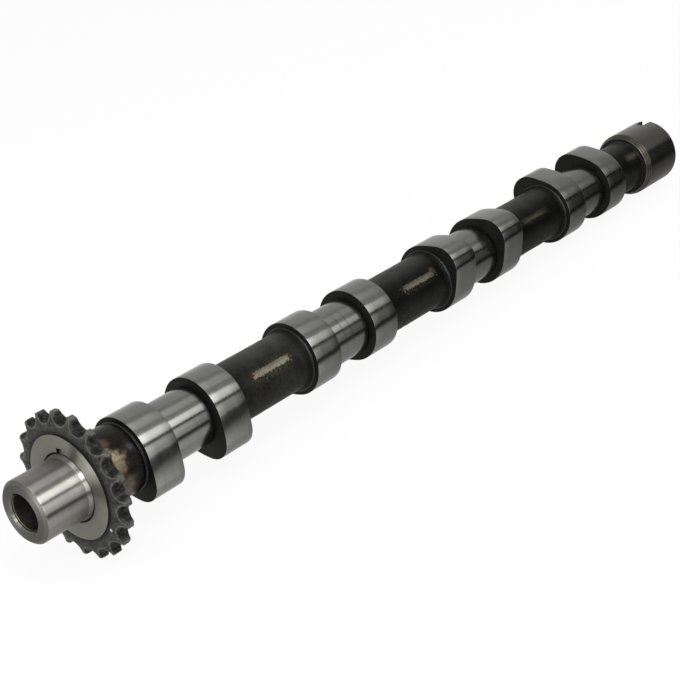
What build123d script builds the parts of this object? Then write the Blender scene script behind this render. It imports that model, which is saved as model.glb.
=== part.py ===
"""Overhead camshaft of a four-cylinder engine, with its keyed timing-chain sprocket.

The shaft lies along +X, with its origin at the centre of the nose face and +Z up, in line with
the key of the sprocket and with the drive slot in the tail. Lengths are in millimetres. Angles
are in degrees about +X, counted from +Y towards +Z.

camshaft         one chilled iron casting: nose, cam lobes, journals and tail, ground where they run
timing_sprocket  toothed wheel for a roller chain, pressed on its seat behind the nose
sprocket_key     round-ended key that times the sprocket to the shaft
"""

from build123d import *
import os
from math import acos, cos, degrees, pi, radians, sin, sqrt, tan

# Cylinders and timing
CYLINDER_PITCH = 91.0        # from one bore axis to the next
FIRING_ORDER = (1, 3, 4, 2)
FIRST_NOSE_ANGLE = 230.5     # where both cam noses of cylinder 1 point
TIMING_ANGLE = 90.0          # direction of the sprocket's key and of the drive slot
UP = 90.0                    # direction of +Z

# Nose
NOSE_R = 12.5
NOSE_LENGTH = 20.5           # nose face to the front of the sprocket's hub
NOSE_CHAMFER = 1.3
MOUTH_CHAMFER = 0.3
SPIGOT_R = 7.2               # plain mouth of the bolt hole
SPIGOT_DEPTH = 1.2
TAP_DRILL_R = 6.25           # core of the M14 x 1.5 thread
TAP_DRILL_DEPTH = 28.0
DRILL_POINT_ANGLE = 118.0

# Sprocket seat and key
SEAT_R = 13.2
SEAT_LEAD = 1.5              # flare from the nose up to the seat
KEY_WIDTH = 3.2
KEY_LENGTH = 5.0
KEY_HEIGHT = 3.5
KEY_STANDOUT = 1.6           # key top above the seat
KEY_SETBACK = 0.3            # key front behind the hub face
KEYWAY_HEADROOM = 0.8        # keyway roof above the key
KEY_EDGE = 0.2

# Front section, between the sprocket and the first lobe, and the sections between cylinders
FRONT_SECTION_R = 14.0
FRONT_SECTION_LENGTH = 19.9
SHAFT_R = 12.65
CAST_FLARE = 1.8             # length over which a cast section widens to meet a lobe

# Cam lobes, two for each cylinder
BASE_CIRCLE_R = 15.8
LIFT = 4.0
LOBE_NOSE_R = 9.8
LOBE_FLANK_R = 54.0
LOBE_WIDTH = 14.4
LOBE_EDGE = 0.35
FLARE_INSET = 1.5            # base circle to the flare of the cast section beside it

# Journals, one between the two lobes of each cylinder
JOURNAL_R = 12.5
JOURNAL_WIDTH = 19.35
JOURNAL_EDGE = 0.3
RELIEF_WIDTH = 1.2           # grinding relief each side of a journal
RELIEF_DEPTH = 0.35

# Tail journal and its drive slot
TAIL_SECTION_LENGTH = 21.7   # last lobe to the tail journal
TAIL_FLARE = 0.6
TAIL_JOURNAL_R = 16.05
TAIL_JOURNAL_LENGTH = 27.3
TAIL_LEAD_LENGTH = 2.8       # long chamfer towards the lobes
TAIL_LEAD_DEPTH = 1.35
TAIL_CHAMFER = 0.5
SLOT_WIDTH = 4.5
SLOT_DEPTH = 7.0
CENTRE_MOUTH_R = 4.0         # 60 degree turning centre
CENTRE_PILOT_R = 1.6
CENTRE_PILOT_DEPTH = 4.0
CENTRE_ANGLE = 60.0

# Sprocket
CHAIN_PITCH = 9.525
ROLLER_DIAMETER = 6.35
TOOTH_COUNT = 19
TOOTH_LEAD = -2.9            # from the key to the centre line of the nearest tooth
TOOTH_TIP_R = 28.95
TOOTH_WIDTH = 5.3
TOOTH_BEVEL_START_R = 24.4
TOOTH_BEVEL_DEPTH = 1.1
ROLLER_SEAT_RATIO = 0.505    # seat radius of a tooth gap, as a share of the roller's diameter
ROLLER_SEATING_ANGLE = 140.0 - 90.0 / TOOTH_COUNT
FLANK_R = 0.12 * ROLLER_DIAMETER * (TOOTH_COUNT + 2)
GAP_OVERRUN = 1.0            # how far a gap's outline passes the tooth tips
GAP_EDGE = 0.75              # broken edge round each gap, at the front
HUB_R = 20.9
HUB_RISE = 0.4               # machined hub face proud of the toothed rim
HUB_EDGE = 0.2
BORE_CHAMFER = 0.9

# Stations along the shaft
HUB_FACE_X = NOSE_LENGTH
RIM_FRONT_X = HUB_FACE_X + HUB_RISE
SHOULDER_X = RIM_FRONT_X + TOOTH_WIDTH
PAIR_LENGTH = 2 * (LOBE_WIDTH + RELIEF_WIDTH) + JOURNAL_WIDTH
FIRST_PAIR_X = SHOULDER_X + FRONT_SECTION_LENGTH
CYLINDERS = len(FIRING_ORDER)
TAIL_X = FIRST_PAIR_X + (CYLINDERS - 1) * CYLINDER_PITCH + PAIR_LENGTH + TAIL_SECTION_LENGTH
END_X = TAIL_X + TAIL_JOURNAL_LENGTH

FLARE_R = BASE_CIRCLE_R - FLARE_INSET
RELIEF_R = JOURNAL_R - RELIEF_DEPTH


def turned(stations):
    """Solid of revolution about X from stations of x and radius."""
    ends = [(x, 0.0) for x, radius in (stations[-1], stations[0]) if radius > 0]
    return revolve(make_face(Polyline(*stations, *ends, close=True)), Axis.X)


def pair_front(cylinder):
    """Front face of the first lobe of a cylinder, counted from 1."""
    return FIRST_PAIR_X + (cylinder - 1) * CYLINDER_PITCH


def nose_angle(cylinder):
    """Direction of a cylinder's cam noses, a quarter turn apart in firing order."""
    return FIRST_NOSE_ANGLE - 360.0 / CYLINDERS * FIRING_ORDER.index(cylinder)


def nose_stations():
    """Chamfered nose, its flare and the sprocket's seat, up to the shoulder behind it."""
    return [
        (0.0, NOSE_R - NOSE_CHAMFER),
        (NOSE_CHAMFER, NOSE_R),
        (HUB_FACE_X - SEAT_LEAD, NOSE_R),
        (HUB_FACE_X, SEAT_R),
        (SHOULDER_X, SEAT_R),
        (SHOULDER_X, FRONT_SECTION_R),
    ]


def pair_stations(cylinder):
    """Cast flares, grinding reliefs and journal of one cylinder; its lobes are added later."""
    front = pair_front(cylinder)
    rear = front + PAIR_LENGTH
    relief_front = front + LOBE_WIDTH
    relief_rear = rear - LOBE_WIDTH
    journal_front = relief_front + RELIEF_WIDTH
    journal_rear = relief_rear - RELIEF_WIDTH
    section_before = FRONT_SECTION_R if cylinder == 1 else SHAFT_R
    return [
        (front - CAST_FLARE, section_before),
        (front, FLARE_R),
        (relief_front, FLARE_R),
        (relief_front, RELIEF_R),
        (journal_front, RELIEF_R),
        (journal_front + JOURNAL_EDGE, JOURNAL_R),
        (journal_rear - JOURNAL_EDGE, JOURNAL_R),
        (journal_rear, RELIEF_R),
        (relief_rear, RELIEF_R),
        (relief_rear, FLARE_R),
        (rear, FLARE_R),
        (rear + CAST_FLARE, SHAFT_R),
    ]


def tail_stations():
    """Tail journal, with a long lead towards the lobes."""
    return [
        (TAIL_X - TAIL_FLARE, SHAFT_R),
        (TAIL_X, SHAFT_R + TAIL_FLARE),
        (TAIL_X, TAIL_JOURNAL_R - TAIL_LEAD_DEPTH),
        (TAIL_X + TAIL_LEAD_LENGTH, TAIL_JOURNAL_R),
        (END_X - TAIL_CHAMFER, TAIL_JOURNAL_R),
        (END_X, TAIL_JOURNAL_R - TAIL_CHAMFER),
    ]


def lobe_outline():
    """Three-arc cam profile with its nose on +X: base circle, flanks and nose, all tangent."""
    nose_centre = BASE_CIRCLE_R + LIFT - LOBE_NOSE_R
    to_base, to_nose = LOBE_FLANK_R - BASE_CIRCLE_R, LOBE_FLANK_R - LOBE_NOSE_R
    flank_x = (to_base**2 - to_nose**2 + nose_centre**2) / (2 * nose_centre)
    flank_centre = Vector(flank_x, -sqrt(to_base**2 - flank_x**2))
    leave_base = -flank_centre * (BASE_CIRCLE_R / to_base)
    along = (Vector(nose_centre, 0) - flank_centre) / to_nose
    reach_nose = Vector(nose_centre, 0) + along * LOBE_NOSE_R
    flank = RadiusArc(leave_base, reach_nose, LOBE_FLANK_R)
    other_flank = mirror(flank, Plane.XZ)
    base = ThreePointArc(flank @ 0, (-BASE_CIRCLE_R, 0), other_flank @ 0)
    nose = ThreePointArc(flank @ 1, (BASE_CIRCLE_R + LIFT, 0), other_flank @ 1)
    return make_face([base, flank, nose, other_flank])


def lobe(cylinder, front):
    """One cam lobe, with its ground rims broken."""
    blank = extrude(Plane.YZ * lobe_outline(), LOBE_WIDTH)
    rims = blank.faces().filter_by(Axis.X).edges()
    return Pos(front, 0, 0) * Rot(nose_angle(cylinder), 0, 0) * chamfer(rims, LOBE_EDGE)


def bolt_hole():
    """Plain mouth, tapped core and drill point of the hole in the nose."""
    point = TAP_DRILL_R / tan(radians(DRILL_POINT_ANGLE / 2))
    return turned([
        (0.0, SPIGOT_R + MOUTH_CHAMFER),
        (MOUTH_CHAMFER, SPIGOT_R),
        (SPIGOT_DEPTH, SPIGOT_R),
        (SPIGOT_DEPTH + SPIGOT_R - TAP_DRILL_R, TAP_DRILL_R),
        (TAP_DRILL_DEPTH, TAP_DRILL_R),
        (TAP_DRILL_DEPTH + point, 0.0),
    ])


def turning_centre():
    """Conical centre and pilot drilling in the tail face."""
    cone_depth = (CENTRE_MOUTH_R - CENTRE_PILOT_R) / tan(radians(CENTRE_ANGLE / 2))
    return turned([
        (END_X - cone_depth - CENTRE_PILOT_DEPTH, CENTRE_PILOT_R),
        (END_X - cone_depth, CENTRE_PILOT_R),
        (END_X, CENTRE_MOUTH_R),
    ])


def drive_slot():
    """Slot right across the tail face."""
    blank = Box(SLOT_DEPTH, 3 * TAIL_JOURNAL_R, SLOT_WIDTH, align=(Align.MAX, Align.CENTER, Align.CENTER))
    return Pos(END_X, 0, 0) * Rot(TIMING_ANGLE, 0, 0) * blank


def key_blank(height, edge=0.0):
    """Round-ended key or its pocket, standing on its floor in the seat."""
    blank = extrude(SlotOverall(KEY_LENGTH, KEY_WIDTH), height)
    if edge:
        blank = chamfer(blank.faces().sort_by(Axis.Z)[-1].edges(), edge)
    middle_x = HUB_FACE_X + KEY_SETBACK + KEY_LENGTH / 2
    floor_r = SEAT_R + KEY_STANDOUT - KEY_HEIGHT
    return Rot(TIMING_ANGLE - UP, 0, 0) * Pos(middle_x, 0, floor_r) * blank


def make_camshaft():
    """The whole casting, with its machined bores, slot and key pocket."""
    stations = nose_stations()
    for cylinder in range(1, CYLINDERS + 1):
        stations += pair_stations(cylinder)
    shaft = turned(stations + tail_stations())
    for cylinder in range(1, CYLINDERS + 1):
        front = pair_front(cylinder)
        shaft += lobe(cylinder, front)
        shaft += lobe(cylinder, front + PAIR_LENGTH - LOBE_WIDTH)
    return shaft - bolt_hole() - turning_centre() - drive_slot() - key_blank(2 * KEY_HEIGHT)


def tooth_gap():
    """Gap between two teeth, centred on the sketch's +X: roller seat and flanks that open out."""
    pitch_r = CHAIN_PITCH / (2 * sin(pi / TOOTH_COUNT))
    seat_r = ROLLER_SEAT_RATIO * ROLLER_DIAMETER
    seat_half = ROLLER_SEATING_ANGLE / 2
    seat = CenterArc((pitch_r, 0), seat_r, 180 + seat_half, -ROLLER_SEATING_ANGLE)
    flank_centre_x = pitch_r - (seat_r + FLANK_R) * cos(radians(seat_half))
    flank_end = degrees(acos((TOOTH_TIP_R + GAP_OVERRUN - flank_centre_x) / FLANK_R))
    flank = JernArc(seat @ 1, seat % 1, FLANK_R, seat_half - flank_end)
    other_flank = mirror(flank, Plane.XZ)
    return make_face([seat, flank, Line(flank @ 1, other_flank @ 1), other_flank])


def make_sprocket():
    """Bevelled blank with its tooth gaps, bore and keyway."""
    blank = turned([
        (HUB_FACE_X, HUB_R - HUB_EDGE),
        (HUB_FACE_X + HUB_EDGE, HUB_R),
        (RIM_FRONT_X, HUB_R),
        (RIM_FRONT_X, TOOTH_BEVEL_START_R),
        (RIM_FRONT_X + TOOTH_BEVEL_DEPTH, TOOTH_TIP_R),
        (SHOULDER_X - TOOTH_BEVEL_DEPTH, TOOTH_TIP_R),
        (SHOULDER_X, TOOTH_BEVEL_START_R),
    ])
    gap = Pos(RIM_FRONT_X, 0, 0) * extrude(Plane.YZ * tooth_gap(), TOOTH_WIDTH)
    step = 360.0 / TOOTH_COUNT
    first_gap = TIMING_ANGLE + TOOTH_LEAD + step / 2
    blank -= [Rot(first_gap + k * step, 0, 0) * gap for k in range(TOOTH_COUNT)]
    bevelled_rims = blank.edges().filter_by(GeomType.BSPLINE)
    front_rims = bevelled_rims.filter_by_position(Axis.X, RIM_FRONT_X, RIM_FRONT_X + TOOTH_WIDTH / 2)
    blank = chamfer(front_rims, GAP_EDGE)
    bore = turned([
        (HUB_FACE_X, SEAT_R + BORE_CHAMFER),
        (HUB_FACE_X + BORE_CHAMFER, SEAT_R),
        (SHOULDER_X, SEAT_R),
    ])
    roof_r = SEAT_R + KEY_STANDOUT + KEYWAY_HEADROOM
    keyway = Box(
        SHOULDER_X - HUB_FACE_X, KEY_WIDTH, roof_r, align=(Align.MIN, Align.CENTER, Align.MIN)
    )
    return blank - bore - Rot(TIMING_ANGLE - UP, 0, 0) * Pos(HUB_FACE_X, 0, 0) * keyway


def main():
    """Write one STEP file for each piece."""
    os.makedirs("parts", exist_ok=True)
    pieces = {
        "camshaft": make_camshaft(),
        "timing_sprocket": make_sprocket(),
        "sprocket_key": key_blank(KEY_HEIGHT, KEY_EDGE),
    }
    for name, piece in pieces.items():
        export_step(piece, f"parts/{name}.step")
        print(f"{name}: {piece.volume / 1000:.2f} cm3, valid {piece.is_valid}")


if __name__ == "__main__":
    main()
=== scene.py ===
"""Finished look of an overhead camshaft with its chain sprocket, in a white studio tent.

The shaft lies along +X with the centre of its nose face at the origin. Sizes are in millimetres
and angles in degrees. An angle about the shaft is a clock angle: 0 points to -Y, the side that
the camera stands on, and 90 points to +Z. Meshes are made in metres, in the part's own frame.
"""

import logging
from collections.abc import Iterable, Sequence
from dataclasses import dataclass, field
from enum import Enum
from math import acos, atan2, ceil, cos, degrees, hypot, pi, radians, sin, sqrt, tan

import bmesh
import bpy
from mathutils import Matrix, Vector, noise


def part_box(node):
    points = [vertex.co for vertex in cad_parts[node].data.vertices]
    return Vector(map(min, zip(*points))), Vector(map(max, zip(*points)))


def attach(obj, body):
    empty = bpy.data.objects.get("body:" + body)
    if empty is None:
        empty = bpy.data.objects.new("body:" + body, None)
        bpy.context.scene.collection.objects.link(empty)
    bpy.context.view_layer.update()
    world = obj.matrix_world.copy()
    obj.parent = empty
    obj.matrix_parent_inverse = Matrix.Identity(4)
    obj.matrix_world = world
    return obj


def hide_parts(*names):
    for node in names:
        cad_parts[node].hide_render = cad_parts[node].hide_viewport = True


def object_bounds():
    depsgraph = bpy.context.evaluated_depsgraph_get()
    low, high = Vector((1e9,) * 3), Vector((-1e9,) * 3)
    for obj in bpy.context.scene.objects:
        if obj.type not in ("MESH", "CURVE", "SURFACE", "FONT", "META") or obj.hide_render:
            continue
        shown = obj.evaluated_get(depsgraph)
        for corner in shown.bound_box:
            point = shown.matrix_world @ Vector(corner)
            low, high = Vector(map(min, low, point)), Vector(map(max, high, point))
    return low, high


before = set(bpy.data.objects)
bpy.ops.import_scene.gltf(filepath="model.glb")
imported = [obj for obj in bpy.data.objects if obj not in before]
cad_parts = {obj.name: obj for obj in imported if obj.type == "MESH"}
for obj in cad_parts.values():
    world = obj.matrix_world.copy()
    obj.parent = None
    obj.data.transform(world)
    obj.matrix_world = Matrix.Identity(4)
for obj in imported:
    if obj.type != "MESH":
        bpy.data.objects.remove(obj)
CAD_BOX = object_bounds()

MM = 0.001
BODY = "root"
TINY = 1e-6
MERGE_DISTANCE = 0.002 * MM
LOG = logging.getLogger("camshaft")

Colour = tuple[float, float, float]
Point = tuple[float, float]
Socket = bpy.types.NodeSocket
Material = bpy.types.Material
Piece = bpy.types.Object

NOISE_RANGE = (0.3, 0.7)
WHITE = (1.0, 1.0, 1.0, 1.0)


class Slot(Enum):
    """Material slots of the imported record."""

    CASTING = "casting"
    SPROCKET = "sprocket"
    KEY = "key"


def ring_point(x: float, radius: float, clock: float) -> Vector:
    """Returns the point at a clock angle in degrees round the shaft, in metres."""
    turn = radians(clock)
    return Vector((x, -radius * cos(turn), radius * sin(turn))) * MM


def shaded(colour: Colour, share: float) -> Colour:
    """Returns a colour times a share of its brightness."""
    return tuple(share * part for part in colour)


# --------------------------------------------------------------------------------------------
# Node trees


class NodeGraph:
    """Adds nodes to one tree and wires them as they are made."""

    def __init__(self, tree: bpy.types.NodeTree) -> None:
        """Args:
        tree: the shader or geometry tree to fill.
        """
        self.tree = tree

    def add(self, kind: str, inputs: dict | None = None, **settings: object) -> bpy.types.Node:
        """Makes one node.

        Args:
            kind: the node's type name.
            inputs: values or output sockets, by the name or the number of the input.
            settings: properties of the node itself.

        Returns:
            The new node.
        """
        node = self.tree.nodes.new(kind)
        for name, value in settings.items():
            setattr(node, name, value)
        for key, value in (inputs or {}).items():
            if isinstance(value, Socket):
                self.tree.links.new(value, node.inputs[key])
            else:
                node.inputs[key].default_value = value
        return node

    def result(self, kind: str, inputs: dict | None = None, **settings: object) -> Socket:
        """Makes one node as add does and returns its first output."""
        return self.add(kind, inputs, **settings).outputs[0]

    def math(self, operation: str, *values: object) -> Socket:
        """Returns the result of one Math node over one to three values or sockets."""
        return self.result("ShaderNodeMath", dict(enumerate(values)), operation=operation)

    def product(self, *values: object) -> Socket:
        """Returns the product of two or more values or sockets."""
        made, *others = values
        for value in others:
            made = self.math("MULTIPLY", made, value)
        return made

    def difference(self, first: object, second: object) -> Socket:
        """Returns how far apart two values or sockets are, whichever is larger."""
        return self.math("ABSOLUTE", self.math("SUBTRACT", first, second))


class ShaderGraph(NodeGraph):
    """The node tree of a new material, with the patterns that the finishes share."""

    def __init__(self, name: str) -> None:
        """Args:
        name: the material's name.
        """
        self.material = bpy.data.materials.new(name)
        self.material.use_nodes = True
        super().__init__(self.material.node_tree)
        self.tree.nodes.clear()
        self.place = self.add("ShaderNodeTexCoord").outputs["Object"]

    def axes(self) -> tuple[Socket, Socket, Socket]:
        """Returns x, y and z of the surface point, in metres."""
        split = self.add("ShaderNodeSeparateXYZ", {0: self.place})
        return split.outputs[0], split.outputs[1], split.outputs[2]

    def outward(self) -> Socket:
        """Returns the vector from the shaft's axis to the surface point."""
        inputs = {0: self.place, 1: (0, 1, 1)}
        return self.result("ShaderNodeVectorMath", inputs, operation="MULTIPLY")

    def axle_radius(self) -> Socket:
        """Returns the distance from the shaft's axis, in metres."""
        spoke = self.add("ShaderNodeVectorMath", {0: self.outward()}, operation="LENGTH")
        return spoke.outputs["Value"]

    def along(self) -> Socket:
        """Returns the direction of the shaft's axis."""
        return self.result("ShaderNodeCombineXYZ", {"X": 1.0})

    def clock(self) -> Socket:
        """Returns the clock angle of the surface point, in degrees."""
        _, y, z = self.axes()
        turn = self.math("ARCTAN2", z, self.math("MULTIPLY", y, -1.0))
        return self.math("DEGREES", turn)

    def off_x(self, x: float) -> Socket:
        """Returns the distance along the shaft from x in millimetres, in metres."""
        return self.difference(self.axes()[0], x * MM)

    def off_clock(self, clock: float) -> Socket:
        """Returns how many degrees round the shaft the surface point is from a clock angle."""
        return self.difference(self.clock(), clock)

    def off_place(self, x: float, radius: float, clock: float) -> Socket:
        """Returns the distance of the surface point from a place on the shaft, in metres."""
        inputs = {0: self.place, 1: ring_point(x, radius, clock)}
        return self.add("ShaderNodeVectorMath", inputs, operation="DISTANCE").outputs["Value"]

    def grain(
        self, size: float, stretch: Sequence[float] = (1, 1, 1), detail: float = 3.0
    ) -> Socket:
        """Mottled pattern from 0 to 1.

        Args:
            size: size of one blotch in millimetres.
            stretch: how many times longer a blotch is along x, y and z.
            detail: octaves of finer pattern.

        Returns:
            The pattern's value.
        """
        scale = Vector(1.0 / (size * MM * s) for s in stretch)
        mapped = self.result("ShaderNodeMapping", {"Vector": self.place, "Scale": scale})
        inputs = {"Vector": mapped, "Scale": 1.0, "Detail": detail}
        return self.add("ShaderNodeTexNoise", inputs).outputs["Fac"]

    def remap(
        self, value: object, low: float, high: float, to_low: float = 0.0, to_high: float = 1.0
    ) -> Socket:
        """Returns value, stretched from low..high to to_low..to_high and held at the ends."""
        inputs = {0: value, 1: low, 2: high, 3: to_low, 4: to_high}
        return self.result("ShaderNodeMapRange", inputs)

    def near(self, off: object, inner: float, outer: float, share: float = 1.0) -> Socket:
        """Returns share where off is below inner, falling to 0 at outer."""
        return self.remap(off, inner, outer, share, 0.0)

    def weigh(self, first: object, share: float, second: object) -> Socket:
        """Returns the mean of two values, in which the first one has a share."""
        return self.math("ADD", self.product(first, share), self.product(second, 1.0 - share))

    def blend(self, share: object, first: object, second: object) -> Socket:
        """Returns the colour that goes from first to second as share goes from 0 to 1."""
        node = self.add("ShaderNodeMix", {0: share}, data_type="RGBA")
        for socket, value in ((node.inputs[6], first), (node.inputs[7], second)):
            if isinstance(value, Socket):
                self.tree.links.new(value, socket)
            else:
                socket.default_value = (*value, 1.0)
        return node.outputs[2]

    def brighten(self, colour: Socket, gain: Socket) -> Socket:
        """Returns a colour times a gain."""
        inputs = {0: colour, "Scale": gain}
        return self.result("ShaderNodeVectorMath", inputs, operation="SCALE")

    def relief(self, height: object, depth: float, below: object = None) -> Socket:
        """Fine relief for the shader.

        Args:
            height: pattern from 0 to 1.
            depth: height of the relief in millimetres.
            below: normal that the relief is laid over.

        Returns:
            The new normal.
        """
        inputs = {"Height": height, "Distance": depth * MM, "Strength": 1.0}
        if below is not None:
            inputs["Normal"] = below
        return self.result("ShaderNodeBump", inputs)

    def surface(self, **inputs: object) -> Material:
        """Ends the tree in a Principled shader.

        Args:
            inputs: its inputs, with the spaces in their names written as underscores.

        Returns:
            The finished material.
        """
        named = {key.replace("_", " "): value for key, value in inputs.items()}
        for key, value in named.items():
            if isinstance(value, tuple) and len(value) == 3:
                named[key] = (*value, 1.0)
        return self.finish(self.result("ShaderNodeBsdfPrincipled", named))

    def finish(self, shader: Socket) -> Material:
        """Ends the tree in a shader and returns the finished material."""
        self.add("ShaderNodeOutputMaterial", {"Surface": shader})
        return self.material


# --------------------------------------------------------------------------------------------
# Finishes


@dataclass(frozen=True)
class GroundSteel:
    """Cylindrical grinding: its fine rings smear what it mirrors along the shaft.

    A dark ring is scored at each x in scored, mostly on the side that the camera sees. Between
    two given values of x, the colour gets a painted highlight on that side and painted shade round
    the rest of the shaft.
    """

    name: str
    colour: Colour = (0.165, 0.167, 0.153)
    roughness: float = 0.19
    smear: float = 0.50
    ring_pitch: float = 0.30
    ring_length: float = 140.0
    ring_shades: Point = (0.92, 1.07)
    edge_tint: float = 0.9
    scored: tuple[float, ...] = ()
    score_half: float = 0.22
    score_clock: float = 30.0
    score_reach: Point = (20.0, 42.0)
    score_shade: float = 0.5
    highlight_span: Point | None = None
    highlight_clock: float = 27.0
    highlight_reach: Point = (28.0, 62.0)
    highlight_gains: Point = (0.25, -0.26)

    def _score(self, graph: ShaderGraph, colour: Socket, smears: Socket) -> Socket:
        """Returns the colour with the scored rings, which the smears break."""
        for x in self.scored:
            ring = graph.math("COMPARE", graph.axes()[0], x * MM, self.score_half * MM)
            reach = graph.remap(graph.off_clock(self.score_clock), *self.score_reach, 0.9, 0.1)
            broken = graph.product(ring, reach, graph.remap(smears, 0.35, 0.6, 0.4, 1.0))
            colour = graph.blend(broken, colour, shaded(self.colour, self.score_shade))
        return colour

    def _paint_highlight(self, graph: ShaderGraph, colour: Socket) -> Socket:
        """Returns the colour with a painted highlight where that end faces the camera, and painted
        shade round the rest.
        """
        start, end = self.highlight_span
        share = graph.remap(graph.axes()[0], start * MM, end * MM)
        highlight_gain = graph.remap(graph.off_clock(self.highlight_clock), *self.highlight_reach, *self.highlight_gains)
        return graph.brighten(colour, graph.math("MULTIPLY_ADD", share, highlight_gain, 1.0))

    def material(self) -> Material:
        """Makes the material."""
        graph = ShaderGraph(self.name)
        rings = graph.grain(self.ring_pitch, (1, self.ring_length, self.ring_length))
        smears = graph.grain(9.0, (0.5, 1.6, 1.6))
        dull, bright = (shaded(self.colour, share) for share in self.ring_shades)
        colour = graph.blend(graph.remap(rings, *NOISE_RANGE), dull, bright)
        colour = self._score(graph, colour, smears)
        if self.highlight_span:
            colour = self._paint_highlight(graph, colour)
        smooth, rough = self.roughness - 0.02, self.roughness + 0.03
        return graph.surface(
            Base_Color=colour,
            Metallic=1.0,
            Roughness=graph.remap(smears, *NOISE_RANGE, smooth, rough),
            Specular_Tint=(self.edge_tint,) * 3,
            Anisotropic=self.smear,
            Tangent=graph.along(),
        )


@dataclass(frozen=True)
class FacedSteel:
    """Face turned in a lathe: its fine rings smear what it mirrors outwards.

    Each shade band is painted shade, a painted dark reflection round one clock angle, given by that
    angle and its half width.
    """

    name: str
    colour: Colour = (0.235, 0.232, 0.222)
    roughness: float = 0.55
    smear: float = 0.8
    feed: float = 0.16
    ring_shades: Point = (0.88, 1.10)
    edge_tint: float = 0.6
    shade_bands: tuple[Point, ...] = ()
    shade_band_share: float = 0.42

    def material(self) -> Material:
        """Makes the material."""
        graph = ShaderGraph(self.name)
        turns = graph.product(graph.axle_radius(), 1.0 / (self.feed * MM))
        inputs = {"W": turns, "Scale": 1.0, "Detail": 2.0}
        rings = graph.add("ShaderNodeTexNoise", inputs, noise_dimensions="1D").outputs["Fac"]
        clouds = graph.grain(5.0)
        dull, bright = (shaded(self.colour, share) for share in self.ring_shades)
        colour = graph.blend(graph.remap(graph.weigh(clouds, 0.6, rings), 0.35, 0.65), dull, bright)
        # Painted shade: darker bands round the given clock angles.
        for clock, half in self.shade_bands:
            in_shade_band = graph.near(graph.off_clock(clock), 0.4 * half, 1.5 * half, 0.9)
            colour = graph.blend(in_shade_band, colour, shaded(self.colour, self.shade_band_share))
        smooth, rough = self.roughness - 0.04, self.roughness + 0.05
        return graph.surface(
            Base_Color=colour,
            Metallic=1.0,
            Roughness=graph.remap(clouds, *NOISE_RANGE, smooth, rough),
            Specular_Tint=(self.edge_tint,) * 3,
            Anisotropic=self.smear,
            Tangent=graph.outward(),
        )


@dataclass(frozen=True)
class GroundStripAndHighlight:
    """Strip where the casting's parting line was ground off, straw-coloured with scorched ends.

    It lies where the camera sees the softbox mirrored, and its straw colour is partly a painted
    highlight. Its edge fades out over the share soft of its half width and is as uneven as ragged
    says. The skin round it gets painted shade on the side, by the last share.
    """

    start: float
    end: float
    clock: float
    half_clock: float
    strength: float = 1.0
    soft: float = 0.065
    ragged: float = 1.0
    side_shade: float = 0.0

    @property
    def middle(self) -> float:
        """Place of the strip's middle along the shaft."""
        return (self.start + self.end) / 2

    @property
    def half(self) -> float:
        """Half the strip's length."""
        return (self.end - self.start) / 2

    def turn(self, graph: ShaderGraph) -> Socket:
        """Returns where a point lies across the strip: -1 is its lower edge and 1 its upper one."""
        above = graph.math("SUBTRACT", graph.clock(), self.clock)
        return graph.math("DIVIDE", above, self.half_clock)

    def off(self, graph: ShaderGraph) -> Socket:
        """Returns how far a point is from the strip's middle: 1 is its ragged edge."""
        along = graph.math("DIVIDE", graph.off_x(self.middle), self.half * MM)
        turn = self.turn(graph)
        off = graph.math("MAXIMUM", along, graph.math("ABSOLUTE", turn))
        uneven = graph.math("SUBTRACT", graph.grain(0.8, (1.3, 1, 1), 4.0), 0.5)
        depth = graph.remap(turn, -1.3, 0.0, 2.2 * self.ragged, 0.8 * self.ragged)
        return graph.math("MULTIPLY_ADD", uneven, depth, off)

    def painted_glints(self, graph: ShaderGraph) -> Socket:
        """Returns how far a point is one of the painted glints by the strip, mostly below it."""
        reach = self.half * MM
        beside = graph.near(graph.off_x(self.middle), 0.85 * reach, 1.2 * reach, self.strength)
        below = graph.math("ABSOLUTE", graph.math("ADD", self.turn(graph), 0.7))
        spots = graph.remap(graph.grain(0.5), 0.57, 0.63)
        return graph.product(beside, graph.near(below, 1.0, 3.0), spots)

    def side_shade_share(self, graph: ShaderGraph) -> Socket:
        """Returns how much painted shade a point on the side near the strip gets."""
        wavy = graph.math("MULTIPLY_ADD", graph.grain(5.0), 20.0, graph.off_clock(self.clock - 5.0))
        beside = graph.near(graph.off_x(self.middle), 27 * MM, 34 * MM)
        return graph.product(graph.near(wavy, 24.0, 46.0, self.side_shade), beside)


@dataclass(frozen=True)
class HeatPatch:
    """Blotch of heat colour on the skin, at a place along and round the shaft.

    Its brown halo is as strong as halo says.
    """

    x: float
    clock: float
    size: float
    colour: Colour
    halo: float = 0.8

    def share(self, graph: ShaderGraph, radius: float) -> Socket:
        """Returns how far a point of a surface of that radius is inside the patch."""
        size = self.size * MM
        off = graph.off_place(self.x, radius, self.clock)
        wavy = graph.math("ADD", off, graph.product(graph.grain(2.2), 0.9 * size))
        return graph.near(wavy, 0.75 * size, 1.7 * size)


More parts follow.
